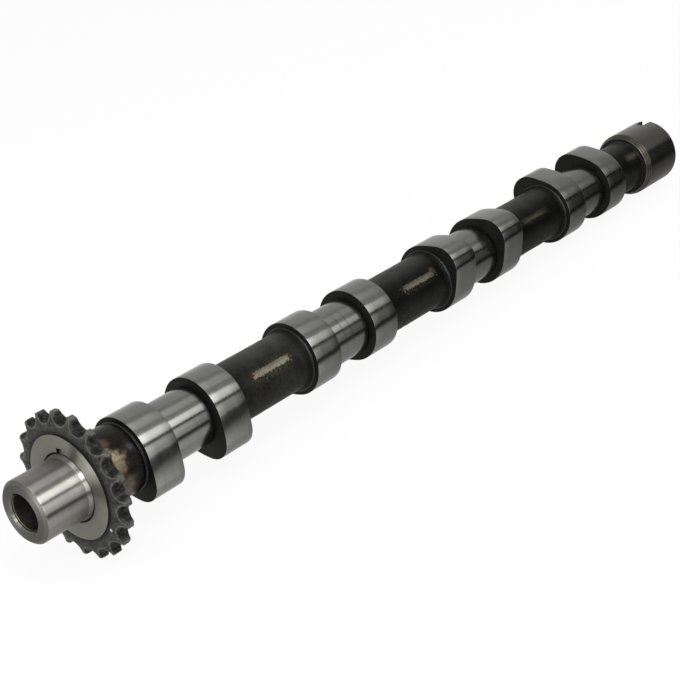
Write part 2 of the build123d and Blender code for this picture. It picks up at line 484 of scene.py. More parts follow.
@dataclass(frozen=True)
class CastSkin:
    """Oily near-black skin of the raw casting.

    Each bay between two cylinders starts at bay[0], one bay[1] after the other, and is bay[2]
    long; painted shade darkens its corners beside the lobes. The top is painted lighter, as painted
    light from above, and a given middle and half length mark a stretch that is made lighter.
    """

    name: str
    dark: Colour = (0.0054, 0.0054, 0.0048)
    light: Colour = (0.0125, 0.0123, 0.0108)
    straw: Colour = (0.156, 0.147, 0.112)
    scorch: Colour = (0.028, 0.014, 0.007)
    glint: Colour = (0.072, 0.068, 0.030)
    sparkle: Colour = (0.022, 0.021, 0.017)
    painted_shade: Colour = (0.0020, 0.0020, 0.0018)
    top_light: Colour = (0.0340, 0.0349, 0.0320)
    roughness: float = 0.42
    strip_roughness: float = 0.30
    specular: float = 0.05
    grain_size: float = 0.45
    grain_depth: float = 0.035
    strips: tuple[GroundStripAndHighlight, ...] = ()
    patches: tuple[HeatPatch, ...] = ()
    surface_radius: float = 14.0
    corner_shade_share: float = 0.9
    top_light_share: float = 0.0
    top_light_clock: float = 100.0
    lighter_stretch: Point | None = None
    lighter_stretch_gain: float = 1.4
    bay: tuple[float, float, float] = (96.65, 91.0, 40.45)

    def _corner_shade(self, graph: ShaderGraph) -> Socket:
        """Returns how much painted shade a point gets: most in the corners beside the lobes."""
        start, pitch, length = self.bay
        along = graph.math("SUBTRACT", graph.axes()[0], start * MM)
        along = graph.math("FLOORED_MODULO", along, pitch * MM)
        corner = graph.math("MINIMUM", along, graph.math("SUBTRACT", length * MM, along))
        wavy = graph.math("MULTIPLY_ADD", graph.grain(2.0), -1.5 * MM, corner)
        return graph.near(wavy, 0.6 * MM, 3.0 * MM, self.corner_shade_share)

    def _raw(self, graph: ShaderGraph, sand: Socket, clouds: Socket) -> Socket:
        """Returns the colour of the plain skin, with painted light on its top and a stretch made
        lighter.
        """
        mottle = graph.weigh(clouds, 0.5, graph.grain(1.1))
        colour = graph.blend(graph.remap(mottle, 0.40, 0.62), self.dark, self.light)
        colour = graph.blend(graph.remap(sand, 0.57, 0.68, 0.0, 0.7), colour, self.sparkle)
        # Painted light: the top is made lighter.
        if self.top_light_share:
            top = graph.near(graph.off_clock(self.top_light_clock), 18.0, 48.0, self.top_light_share)
            lit_top = graph.product(top, graph.remap(clouds, 0.35, 0.65, 0.6, 1.0))
            colour = graph.blend(lit_top, colour, self.top_light)
        # A stretch of the shaft is made lighter.
        if self.lighter_stretch:
            middle, half = self.lighter_stretch
            ends = (0.6 * half * MM, 1.6 * half * MM)
            gain = graph.remap(graph.off_x(middle), *ends, self.lighter_stretch_gain, 1.0)
            colour = graph.brighten(colour, gain)
        return colour

    def _side_shaded(self, graph: ShaderGraph, colour: Socket) -> Socket:
        """Returns the colour with painted shade on the side round the strips that have a share of
        it.
        """
        shares = [strip.side_shade_share(graph) for strip in self.strips if strip.side_shade]
        if not shares:
            return colour
        most, *others = shares
        for share in others:
            most = graph.math("MAXIMUM", most, share)
        # Painted shade on the side round the strips.
        return graph.blend(most, colour, self.painted_shade)

    def _heated(
        self, graph: ShaderGraph, patch: HeatPatch, colour: Socket, metallic: object
    ) -> tuple[Socket, Socket]:
        """Returns the colour and the bare metal's share, with a heat patch laid over them."""
        share = patch.share(graph, self.surface_radius)
        colour = graph.blend(graph.remap(share, 0.05, 0.4, 0.0, patch.halo), colour, self.scorch)
        core = graph.remap(share, 0.3, 0.8)
        streaks = graph.remap(graph.grain(1.2, detail=4.0), 0.35, 0.6, 0.6, 1.0)
        colour = graph.blend(graph.product(core, streaks), colour, patch.colour)
        return colour, graph.math("MAXIMUM", metallic, core)

    def _ground(
        self, graph: ShaderGraph, strip: GroundStripAndHighlight, sand: Socket, colour: Socket, metallic: object
    ) -> tuple[Socket, Socket]:
        """Returns the colour and the bare metal's share, with a ground strip laid over them, whose
        straw colour is partly a painted highlight.
        """
        off = strip.off(graph)
        scorched = graph.near(off, 1.0, 1.22 + strip.soft, 0.9 * strip.strength)
        sleek = graph.near(off, 1.0 - strip.soft, 1.0 + strip.soft, strip.strength)
        worn_and_lit = graph.remap(strip.turn(graph), -0.3, 0.6, 1.0, 0.52)
        # The strip's straw colour is partly a painted highlight, strongest along its lower edge.
        straw_highlight_share = graph.product(sleek, worn_and_lit, graph.remap(sand, 0.36, 0.52, 0.45, 1.0))
        # Painted glints below the strip.
        colour = graph.blend(strip.painted_glints(graph), colour, self.glint)
        colour = graph.blend(scorched, colour, self.scorch)
        return graph.blend(straw_highlight_share, colour, self.straw), graph.math("MAXIMUM", metallic, scorched)

    def material(self) -> Material:
        """Makes the material."""
        graph = ShaderGraph(self.name)
        sand, clouds = graph.grain(self.grain_size, detail=4.0), graph.grain(7.0)
        rough = graph.remap(clouds, *NOISE_RANGE, self.roughness - 0.06, self.roughness + 0.08)
        metallic: object = 0.0
        colour = self._side_shaded(graph, self._raw(graph, sand, clouds))
        for patch in self.patches:
            colour, metallic = self._heated(graph, patch, colour, metallic)
        for strip in self.strips:
            colour, metallic = self._ground(graph, strip, sand, colour, metallic)
        if self.strips or self.patches:
            sleeker = self.strip_roughness - self.roughness
            rough = graph.math("MULTIPLY_ADD", metallic, sleeker, rough)
        return graph.surface(
            # Painted shade darkens the corners beside the lobes.
            Base_Color=graph.blend(self._corner_shade(graph), colour, self.painted_shade),
            Metallic=metallic,
            Roughness=rough,
            Specular_IOR_Level=self.specular,
            Normal=graph.relief(clouds, 4 * self.grain_depth, graph.relief(sand, self.grain_depth)),
        )


@dataclass(frozen=True)
class Phosphate:
    """Dark phosphated steel, lighter on its rims and tooth tips where rubs have bared it.

    On the rims round the tooth gaps that lighter colour is partly a painted highlight. One value of
    each vertex says how much rub it shows, and another how far its face is sunken: sunken faces,
    the gap walls and the hub's recesses, get painted shade. The colour is darker out to between the
    two radii in corner, and the rub of the tips starts between those in tip. Each nick shows bright
    steel: its x, its distance from the axis, its clock angle and its size.
    """

    name: str
    colour: Colour = (0.051, 0.052, 0.045)
    deep: Colour = (0.009, 0.009, 0.0083)
    worn_and_lit: Colour = (0.125, 0.124, 0.104)
    painted_recess_shade: Colour = (0.0016, 0.0016, 0.0014)
    smudge: Colour = (0.026, 0.0245, 0.019)
    bright: Colour = (0.62, 0.61, 0.57)
    dark_ring: Colour = (0.003, 0.003, 0.0028)
    nicks: tuple[tuple[float, float, float, float], ...] = ((20.9, 22.75, -35.0, 0.70),)
    roughness: float = 0.50
    specular: float = 0.14
    corner: Point = (21.6, 22.9)
    tip: Point = (27.35, 28.85)

    def material(self) -> Material:
        """Makes the material."""
        graph = ShaderGraph(self.name)
        crystals, blotches = graph.grain(0.35, detail=4.0), graph.grain(1.5, detail=4.0)
        rub_and_highlight, recess_shade = (
            graph.add("ShaderNodeAttribute", attribute_name=name).outputs["Fac"]
            for name in ("rub_and_highlight", "recess_shade")
        )
        mottle = graph.weigh(blotches, 0.6, graph.grain(4.5))
        colour = graph.blend(graph.remap(mottle, 0.38, 0.62), self.deep, self.colour)
        radius = graph.axle_radius()
        # The colour is darker just outside the hub.
        dark_ring_share = graph.near(radius, self.corner[0] * MM, self.corner[1] * MM, 0.9)
        colour = graph.blend(dark_ring_share, colour, self.dark_ring)
        tips = graph.remap(radius, self.tip[0] * MM, self.tip[1] * MM, 0.0, 0.5)
        patchy = graph.remap(blotches, 0.35, 0.55, 0.5, 1.0)
        # Lighter rims round the gaps and lighter tooth tips; on the rims this is partly a painted
        # highlight.
        rubbed_and_lit = graph.product(graph.math("MAXIMUM", rub_and_highlight, tips), patchy)
        colour = graph.blend(rubbed_and_lit, colour, self.worn_and_lit)
        # Sunken faces get painted shade.
        recess_shade_colour = graph.blend(graph.remap(blotches, 0.52, 0.66, 0.0, 0.9), self.painted_recess_shade, self.smudge)
        colour = graph.blend(graph.math("SUBTRACT", recess_shade, tips), colour, recess_shade_colour)
        bare: object = 0.0
        for x, out, clock, size in self.nicks:
            nick = graph.near(graph.off_place(x, out, clock), 0.7 * size * MM, size * MM)
            colour = graph.blend(nick, colour, self.bright)
            bare = graph.math("MAXIMUM", bare, nick)
        rough = graph.remap(crystals, *NOISE_RANGE, self.roughness - 0.09, self.roughness + 0.07)
        return graph.surface(
            Base_Color=colour,
            Metallic=bare,
            Roughness=graph.math("MULTIPLY_ADD", recess_shade, -0.14, rough),
            Specular_IOR_Level=self.specular,
            Normal=graph.relief(blotches, 0.10, graph.relief(crystals, 0.03)),
        )


class Finish(Enum):
    """Every finish on the camshaft."""

    # The nose's end by the hub gets a painted highlight on the camera's side and painted shade
    # round the rest.
    NOSE = GroundSteel(
        "ground_nose", (0.196, 0.194, 0.179), roughness=0.34, smear=1.0, highlight_span=(12.5, 15.5)
    )
    JOURNAL = GroundSteel("ground_journal", scored=(158.8, 163.2))
    LOBE = GroundSteel("ground_lobe")
    TAIL = GroundSteel("ground_tail", (0.098, 0.096, 0.084), roughness=0.24)
    CHAMFER = GroundSteel("turned_chamfer", (0.120, 0.117, 0.098), roughness=0.50)
    EDGE = GroundSteel("worn_edge", (0.205, 0.196, 0.165), roughness=0.42)
    LEAD = GroundSteel("turned_lead", (0.042, 0.040, 0.033), roughness=0.42)
    # The lead's lighter rings are painted highlights.
    LEAD_RIDGE = GroundSteel("lead_ridge", (0.072, 0.066, 0.052), roughness=0.34)
    FACE = FacedSteel("faced_end", (0.132, 0.131, 0.121))
    # The hub's two bands are painted shade, a painted dark reflection.
    HUB = FacedSteel("faced_hub", (0.244, 0.240, 0.208), shade_bands=((8.0, 14.0), (61.0, 7.0)))
    MOUTH = FacedSteel("hole_mouth", (0.112, 0.109, 0.086), roughness=0.24, smear=0.0)
    THREAD = FacedSteel("cut_thread", (0.13, 0.12, 0.09), roughness=0.40, smear=0.0)
    BORE = FacedSteel("drilled_bore", (0.08, 0.07, 0.06), roughness=0.50, smear=0.0)
    CAST = CastSkin(
        "cast_skin",
        strips=(
            # These strips' straw colour is partly a painted highlight; the last three also give
            # painted shade on the side round them.
            GroundStripAndHighlight(107.6, 126.9, 34.2, 6.2),
            GroundStripAndHighlight(200.6, 220.4, 34.8, 5.3, 0.86, ragged=1.5, side_shade=1.0),
            GroundStripAndHighlight(290.0, 304.5, 31.0, 4.5, 0.30, 0.5, side_shade=1.0),
            GroundStripAndHighlight(382.0, 390.0, 39.0, 6.0, 0.34, 0.5, side_shade=0.9),
        ),
        patches=(
            HeatPatch(126.8, 38.6, 1.1, (0.034, 0.017, 0.012), 0.9),
            HeatPatch(107.2, 29.0, 1.1, (0.034, 0.017, 0.009), 0.9),
            HeatPatch(220.9, 40.5, 1.7, (0.100, 0.073, 0.038), 0.8),
        ),
        surface_radius=12.65,
        # Painted light on the top.
        top_light_share=0.6,
        # Lighter round x = 121.
        lighter_stretch=(121.0, 11.0),
    )
    FRONT = CastSkin(
        "scorched_skin",
        dark=(0.0030, 0.0028, 0.0024),
        light=(0.0065, 0.0058, 0.0045),
        scorch=(0.022, 0.012, 0.008),
        roughness=0.30,
        specular=0.06,
        # Painted light on the top.
        top_light_share=0.25,
        patches=(
            # Painted sheen: a grey metallic patch where the softbox's highlight falls, with no heat
            # colour.
            HeatPatch(43.4, 38.0, 3.8, (0.021, 0.020, 0.0207), 0.0),
            HeatPatch(33.4, 61.0, 3.6, (0.080, 0.052, 0.031), 0.6),
            HeatPatch(34.6, -18.0, 6.4, (0.080, 0.072, 0.052), 0.5),
            HeatPatch(32.8, 25.0, 6.6, (0.150, 0.124, 0.078)),
        ),
    )
    CHEEK = CastSkin(
        "lobe_cheek",
        dark=(0.0060, 0.0062, 0.0057),
        light=(0.0122, 0.0125, 0.0114),
        specular=0.08,
        # Less painted shade in the corners of the cheeks.
        corner_shade_share=0.35,
    )
    GROOVE = CastSkin(
        "relief_groove", dark=(0.004, 0.004, 0.0036), light=(0.008, 0.008, 0.007), specular=0.08
    )
    RIDGE = CastSkin(
        "collar_ridge",
        dark=(0.0022, 0.0022, 0.0020),
        light=(0.0055, 0.0055, 0.0050),
        roughness=0.26,
        specular=0.22,
        grain_depth=0.12,
    )
    TOOTHED = Phosphate("phosphated_steel")
    KEY = FacedSteel("key_steel", (0.10, 0.10, 0.098))


ROUGH_FINISHES = (Finish.CAST, Finish.FRONT, Finish.RIDGE)


class FinishShelf:
    """Makes each finish's material once and hands it out."""

    def __init__(self) -> None:
        """Starts with an empty shelf."""
        self._made: dict[Finish, Material] = {}

    def get(self, finish: Finish) -> Material:
        """Returns the material of a finish."""
        if finish not in self._made:
            self._made[finish] = finish.value.material()
        return self._made[finish]


# --------------------------------------------------------------------------------------------
# Meshes


def new_object(
    name: str,
    vertices: Iterable[Vector],
    faces: Iterable[Sequence[int]],
    materials: Iterable[Material] = (),
) -> Piece:
    """Puts a mesh in the scene.

    Args:
        name: name of the object.
        vertices: places in metres.
        faces: vertex numbers of each face's corners.
        materials: its materials; all the faces start with the first one.

    Returns:
        The new object, at the origin.
    """
    mesh = bpy.data.meshes.new(name)
    mesh.from_pydata(list(vertices), [], list(faces))
    for material in materials:
        mesh.materials.append(material)
    piece = bpy.data.objects.new(name, mesh)
    bpy.context.scene.collection.objects.link(piece)
    return piece


def freeze(piece: Piece) -> None:
    """Turns a piece's modifiers into plain mesh."""
    graph = bpy.context.evaluated_depsgraph_get()
    graph.update()
    made = bpy.data.meshes.new_from_object(
        piece.evaluated_get(graph), preserve_all_data_layers=True, depsgraph=graph
    )
    piece.modifiers.clear()
    piece.data = made


def shade(piece: Piece, crease: float = 28.0) -> None:
    """Shades a piece smooth, with sharp edges where faces turn by more than crease degrees."""
    mesh = piece.data
    mesh.polygons.foreach_set("use_smooth", [True] * len(mesh.polygons))
    mesh.set_sharp_from_angle(angle=radians(crease))
    mesh.update()


def face_outwards(piece: Piece) -> None:
    """Merges a closed mesh's doubles and turns its faces outwards."""
    made = bmesh.new()
    made.from_mesh(piece.data)
    bmesh.ops.remove_doubles(made, verts=made.verts, dist=MERGE_DISTANCE)
    bmesh.ops.recalc_face_normals(made, faces=made.faces)
    made.to_mesh(piece.data)
    made.free()


def finish_piece(piece: Piece, crease: float = 28.0) -> Piece:
    """Turns a closed mesh's faces outwards, shades it and returns it."""
    face_outwards(piece)
    shade(piece, crease)
    return piece


def cut(piece: Piece, cutter: Piece) -> None:
    """Takes a cutter's volume out of a piece and deletes the cutter."""
    face_outwards(cutter)
    modifier = piece.modifiers.new("cut", "BOOLEAN")
    modifier.operation = "DIFFERENCE"
    modifier.solver = "EXACT"
    modifier.object = cutter
    modifier.material_mode = "TRANSFER"
    freeze(piece)
    bpy.data.objects.remove(cutter)
    shade(piece)


def band(first: Sequence[int], second: Sequence[int]) -> list[list[int]]:
    """Returns the faces between two closed rings of vertices, where a ring may be one point."""
    ahead = zip([*first[1:], first[0]], [*second[1:], second[0]])
    return [list(dict.fromkeys((a, b, c, d))) for a, d, (b, c) in zip(first, second, ahead)]


def tag_faces(piece: Piece, name: str, marked: Sequence[bool]) -> None:
    """Stores a named yes or no for each face of a piece."""
    layer = piece.data.attributes.new(name, "BOOLEAN", "FACE")
    layer.data.foreach_set("value", list(marked))


def tag_points(piece: Piece, name: str, values: Sequence[float]) -> None:
    """Stores a named number for each vertex of a piece."""
    layer = piece.data.attributes.new(name, "FLOAT", "POINT")
    layer.data.foreach_set("value", list(values))


@dataclass(frozen=True)
class Corner:
    """Corner of a turned outline, with its rounding and the finish of the span that follows."""

    x: float
    radius: float
    finish: Finish
    rounding: float = 0.0


@dataclass
class TurnedOutline:
    """Outline that a lathe makes, from a point on the axis round to another one."""

    corners: list[Corner]
    arc_step: float = 12.0
    straight: float = 178.0
    most_of_span: float = 0.48
    longest_rough: float = 1.6
    longest_smooth: float = 13.0

    def _arc(self, before: Corner, corner: Corner, after: Corner) -> list[Point]:
        """Returns the points of a corner's rounding, or the corner itself."""
        here = Vector((corner.x, corner.radius))
        back = Vector((before.x, before.radius)) - here
        ahead = Vector((after.x, after.radius)) - here
        if corner.rounding <= 0 or min(back.length, ahead.length) < TINY:
            return [tuple(here)]
        opening = back.angle(ahead)
        if opening > radians(self.straight):
            return [tuple(here)]
        room = self.most_of_span * min(back.length, ahead.length)
        reach = min(corner.rounding / tan(opening / 2), room)
        radius = reach * tan(opening / 2)
        back.normalize()
        ahead.normalize()
        centre = here + (back + ahead).normalized() * (radius / sin(opening / 2))
        first, last = here + back * reach - centre, here + ahead * reach - centre
        sweep = first.angle(last)
        steps = max(2, ceil(degrees(sweep) / self.arc_step))
        side = 1 if first.cross(last) > 0 else -1
        turned = (Matrix.Rotation(side * sweep * k / steps, 2) @ first for k in range(steps + 1))
        return [tuple(centre + spoke) for spoke in turned]

    def points(self) -> list[tuple[float, float, Finish]]:
        """Returns the places along the outline, each with the finish of the span after it."""
        made: list[tuple[float, float, Finish]] = []
        last = len(self.corners) - 1
        for k, corner in enumerate(self.corners):
            if k in (0, last):
                arc = [(corner.x, corner.radius)]
            else:
                arc = self._arc(self.corners[k - 1], corner, self.corners[k + 1])
            if made:
                x0, r0, finish = made[-1]
                run, rise = arc[0][0] - x0, arc[0][1] - r0
                longest = self.longest_rough if finish in ROUGH_FINISHES else self.longest_smooth
                parts = max(1, ceil(hypot(run, rise) / longest))
                made += [
                    (x0 + run * j / parts, r0 + rise * j / parts, finish) for j in range(1, parts)
                ]
            made += [(x, r, corner.finish) for x, r in arc]
        return made


@dataclass
class Lathe:
    """Turns outlines into closed meshes."""

    shelf: FinishShelf
    segments: int = 240
    skin_relief: float = 0.09
    skin_blotch: float = 2.4
    skin_octaves: tuple[float, float, int] = (0.9, 2.1, 3)

    def _skin(self, x: float, radius: float, clock: float, finish: Finish) -> Vector:
        """Returns a surface point, with the unevenness of the cast skin where there is one."""
        point = ring_point(x, radius, clock)
        if finish not in ROUGH_FINISHES:
            return point
        bump = noise.fractal(point / (self.skin_blotch * MM), *self.skin_octaves)
        return ring_point(x, radius + self.skin_relief * bump, clock)

    def turn(self, name: str, outline: TurnedOutline) -> Piece:
        """Makes the solid of revolution of an outline.

        Args:
            name: name of the new object.
            outline: its outline, with both ends on the axis.

        Returns:
            The new object, with one material for each finish of the outline.
        """
        stations = outline.points()
        vertices: list[Vector] = []
        rings: list[list[int]] = []
        for k, (x, radius, finish) in enumerate(stations):
            first = len(vertices)
            if radius < TINY:
                vertices.append(Vector((x, 0, 0)) * MM)
                rings.append([first] * self.segments)
                continue
            meets = {finish, stations[k - 1][2]}
            skin = finish if meets <= set(ROUGH_FINISHES) else Finish.JOURNAL
            vertices += [
                self._skin(x, radius, 360 * j / self.segments, skin) for j in range(self.segments)
            ]
            rings.append(list(range(first, first + self.segments)))
        finishes = list(dict.fromkeys(finish for _, _, finish in stations))
        faces: list[list[int]] = []
        slots: list[int] = []
        for ring, after, (_, _, finish) in zip(rings, rings[1:], stations):
            faces += band(ring, after)
            slots += [finishes.index(finish)] * self.segments
        piece = new_object(name, vertices, faces, map(self.shelf.get, finishes))
        piece.data.polygons.foreach_set("material_index", slots)
        return finish_piece(piece)


class GeometryRecipe(NodeGraph):
    """Geometry Nodes tree with named inputs, run on one object and then frozen."""

    def __init__(self, name: str) -> None:
        """Args:
        name: the tree's name.
        """
        super().__init__(bpy.data.node_groups.new(name, "GeometryNodeTree"))
        self._identifiers: dict[str, str] = {}
        self._values: dict[str, object] = {}
        for way in ("INPUT", "OUTPUT"):
            self.tree.interface.new_socket("Geometry", in_out=way, socket_type="NodeSocketGeometry")
        self.entry = self.add("NodeGroupInput")
        self.geometry = self.entry.outputs["Geometry"]

    def size(self, name: str, value: float | int) -> Socket:
        """Adds a named number to the tree's inputs.

        Args:
            name: the input's name.
            value: the value that this part gives it.

        Returns:
            The socket to read it from.
        """
        kind = "NodeSocketInt" if isinstance(value, int) else "NodeSocketFloat"
        socket = self.tree.interface.new_socket(name, in_out="INPUT", socket_type=kind)
        self._identifiers[name] = socket.identifier
        self._values[name] = value
        return self.entry.outputs[name]

    def copies(self, points: Socket, instance: Socket, turn: Socket) -> Socket:
        """Returns real copies of an instance on points, each turned about the shaft's axis."""
        spin = self.result("ShaderNodeCombineXYZ", {"X": turn})
        inputs = {"Points": points, "Instance": instance, "Rotation": spin}
        placed = self.result("GeometryNodeInstanceOnPoints", inputs)
        return self.result("GeometryNodeRealizeInstances", {"Geometry": placed})

    def dress(self, geometry: Socket, material: Material, only: str = "") -> Socket:
        """Sets a material.

        Args:
            geometry: the geometry to dress.
            material: its material.
            only: name of the face attribute that limits it, or nothing for all of it.

        Returns:
            The dressed geometry.
        """
        inputs = {"Geometry": geometry, "Material": material}
        if only:
            kind = "GeometryNodeInputNamedAttribute"
            chosen = self.add(kind, {"Name": only}, data_type="BOOLEAN")
            inputs["Selection"] = chosen.outputs["Attribute"]
        return self.result("GeometryNodeSetMaterial", inputs)

    def run(self, piece: Piece, result: Socket) -> None:
        """Closes the tree, runs it on a piece and leaves plain mesh behind.

        Args:
            piece: the object whose mesh goes in.
            result: the socket that holds the finished geometry.
        """
        self.add("NodeGroupOutput", {"Geometry": result})
        modifier = piece.modifiers.new(self.tree.name, "NODES")
        modifier.node_group = self.tree
        for name, identifier in self._identifiers.items():
            modifier[identifier] = self._values[name]
        freeze(piece)


# --------------------------------------------------------------------------------------------
# The camshaft


@dataclass
class Casting:
    """Turned body of the camshaft: nose, sections, journals and tail, with its hole and slot."""

    shelf: FinishShelf
    cylinder_pitch: float = 91.0
    cylinders: int = 4
    nose_radius: float = 12.5
    nose_chamfer: float = 1.3
    mouth_radius: float = 7.2
    mouth_chamfer: float = 0.75
    mouth_depth: float = 1.2
    thread_radius: float = 7.05
    hole_depth: float = 28.0
    hub_face: float = 20.5
    seat_radius: float = 13.2
    seat_lead: float = 1.5
    shoulder: float = 26.2
    front_radius: float = 14.0
    first_pair: float = 46.1
    shaft_radius: float = 12.65
    collar_radius: float = 14.3
    flare: float = 1.8
    flare_round: float = 2.2
    collar_break: float = 0.75
    lip_reach: float = 0.35
    lip_drop: float = 0.25
    under_lobe: float = 1.0
    under_lobe_drop: float = 0.2
    lobe_width: float = 14.4
    relief_width: float = 1.2
    relief_radius: float = 12.15
    journal_radius: float = 12.5
    journal_width: float = 19.35
    journal_lead: float = 0.3
    tail_x: float = 391.35
    tail_radius: float = 16.05
    tail_lead: float = 2.8
    tail_lead_depth: float = 1.35
    tail_chamfer: float = 0.5
    drill_point: float = 59.0
    centre_point: float = 30.0
    end_x: float = 418.65
    slot_width: float = 4.5
    slot_depth: float = 7.0
    slot_break: float = 0.35
    centre_mouth: float = 4.0
    centre_pilot: float = 1.6
    centre_depth: float = 4.0

    @property
    def pair_length(self) -> float:
        """Length over both lobes of one cylinder."""
        return 2 * (self.lobe_width + self.relief_width) + self.journal_width

    def _nose(self) -> list[Corner]:
        """Returns the hole, the nose and the seat, up to the shoulder behind the sprocket."""
        point = self.thread_radius / tan(radians(self.drill_point))
        seat = self.hub_face - self.seat_lead
        return [
            Corner(self.hole_depth + point, 0.0, Finish.BORE),
            Corner(self.hole_depth, self.thread_radius, Finish.BORE),
            Corner(self.mouth_depth + 2.5, self.thread_radius, Finish.THREAD),
            Corner(self.mouth_depth + 0.15, self.thread_radius, Finish.THREAD),
            Corner(self.mouth_depth, self.mouth_radius, Finish.MOUTH),
            Corner(self.mouth_chamfer, self.mouth_radius, Finish.MOUTH, 0.05),
            Corner(0.0, self.mouth_radius + self.mouth_chamfer, Finish.FACE, 0.08),
            Corner(0.0, self.nose_radius - self.nose_chamfer, Finish.CHAMFER, 0.35),
            Corner(self.nose_chamfer, self.nose_radius, Finish.NOSE, 0.8),
            Corner(seat - 0.25, self.nose_radius, Finish.EDGE, 0.3),
            Corner(seat + 0.1, self.nose_radius + 0.05, Finish.NOSE, 0.3),
            Corner(self.hub_face, self.seat_radius, Finish.NOSE, 0.2),
            Corner(self.shoulder, self.seat_radius, Finish.FRONT),
            Corner(self.shoulder, self.front_radius, Finish.FRONT, 0.4),
        ]

    def _pair(self, cylinder: int) -> list[Corner]:
        """Returns the flares, reliefs and journal of one cylinder, counted from 0."""
        front = self.first_pair + cylinder * self.cylinder_pitch
        rear = front + self.pair_length
        inner_front, inner_rear = front + self.lobe_width, rear - self.lobe_width
        journal_front = inner_front + self.relief_width
        journal_rear = inner_rear - self.relief_width
        before = self.front_radius if cylinder == 0 else self.shaft_radius
        skin = Finish.FRONT if cylinder == 0 else Finish.CAST
        low, lip, root = (
            self.collar_radius - drop
            for drop in (self.collar_break, self.lip_drop, self.under_lobe_drop)
        )
        return [
            Corner(front - self.flare, before, skin, self.flare_round),
            Corner(front - self.collar_break, low, Finish.RIDGE, 0.3),
            Corner(front - self.lip_reach, lip, Finish.RIDGE, 0.4),
            Corner(front + self.under_lobe, root, Finish.GROOVE),
            Corner(inner_front - self.under_lobe, self.relief_radius, Finish.GROOVE),
            Corner(journal_front, self.relief_radius, Finish.GROOVE, 0.25),
            Corner(journal_front + self.journal_lead, self.journal_radius, Finish.JOURNAL, 0.12),
            Corner(journal_rear - self.journal_lead, self.journal_radius, Finish.GROOVE, 0.12),
            Corner(journal_rear, self.relief_radius, Finish.GROOVE, 0.25),
            Corner(inner_rear + self.under_lobe, self.relief_radius, Finish.GROOVE),
            Corner(rear - self.under_lobe, root, Finish.RIDGE),
            Corner(rear + self.lip_reach, lip, Finish.RIDGE, 0.4),
            Corner(rear + self.collar_break, low, Finish.CAST, 0.3),
            Corner(rear + self.flare, self.shaft_radius, Finish.CAST, self.flare_round),
        ]

    def _tail(self) -> list[Corner]:
        """Returns the tail journal, its end face and the turning centre."""
        cone = (self.centre_mouth - self.centre_pilot) / tan(radians(self.centre_point))
        pilot_end = self.end_x - cone - self.centre_depth
        lead, depth = self.tail_lead, self.tail_lead_depth
        inner, lead_end = self.tail_radius - depth, self.tail_x + lead
        return [
            Corner(self.tail_x - 0.6, self.shaft_radius, Finish.CAST, 0.5),
            Corner(self.tail_x, self.shaft_radius + 0.6, Finish.CHEEK, 0.3),
            # The lighter rings of the lead are painted highlights.
            Corner(self.tail_x, inner - 0.15, Finish.LEAD_RIDGE, 0.05),
            Corner(self.tail_x + 0.30, inner + 0.14, Finish.LEAD, 0.1),
            Corner(self.tail_x + 0.45 * lead, inner + 0.45 * depth, Finish.LEAD_RIDGE),
            Corner(self.tail_x + 0.60 * lead, inner + 0.60 * depth, Finish.LEAD),
            Corner(lead_end - 0.35, self.tail_radius - 0.17, Finish.LEAD_RIDGE, 0.1),
            Corner(lead_end + 0.10, self.tail_radius, Finish.TAIL, 0.2),
            Corner(self.end_x - self.tail_chamfer, self.tail_radius, Finish.CHAMFER, 0.2),
            Corner(self.end_x, self.tail_radius - self.tail_chamfer, Finish.FACE, 0.15),
            Corner(self.end_x, self.centre_mouth, Finish.CHAMFER, 0.2),
            Corner(self.end_x - cone, self.centre_pilot, Finish.BORE),
            Corner(pilot_end, self.centre_pilot, Finish.BORE),
            Corner(pilot_end - 0.9, 0.0, Finish.BORE),
        ]

    def _slot_cutter(self) -> Piece:
        """Returns a bar of the slot's section, with the flared mouth of its broken edges."""
        half, clear = self.slot_width / 2, 0.5
        floor, lip = self.end_x - self.slot_depth, self.end_x - self.slot_break
        mouth = (self.end_x + clear, half + self.slot_break + clear)
        side = [mouth, (lip, half), (floor, half)]
        section = [*((x, -y) for x, y in reversed(side)), *side]
        reach = self.tail_radius + 2
        vertices = [Vector((x, y, z)) * MM for z in (-reach, reach) for x, y in section]
        count = len(section)
        faces: list[Sequence[int]] = [range(count), range(2 * count - 1, count - 1, -1)]
        for k in range(count):
            n = (k + 1) % count
            faces.append((n, k, k + count, n + count))
        return new_object("slot_cutter", vertices, faces, [self.shelf.get(Finish.BORE)])

    def build(self) -> Piece:
        """Returns the turned body with its slot cut."""
        pairs = (corner for k in range(self.cylinders) for corner in self._pair(k))
        outline = TurnedOutline([*self._nose(), *pairs, *self._tail()])
        body = Lathe(self.shelf).turn("camshaft_body", outline)
        cut(body, self._slot_cutter())
        return body


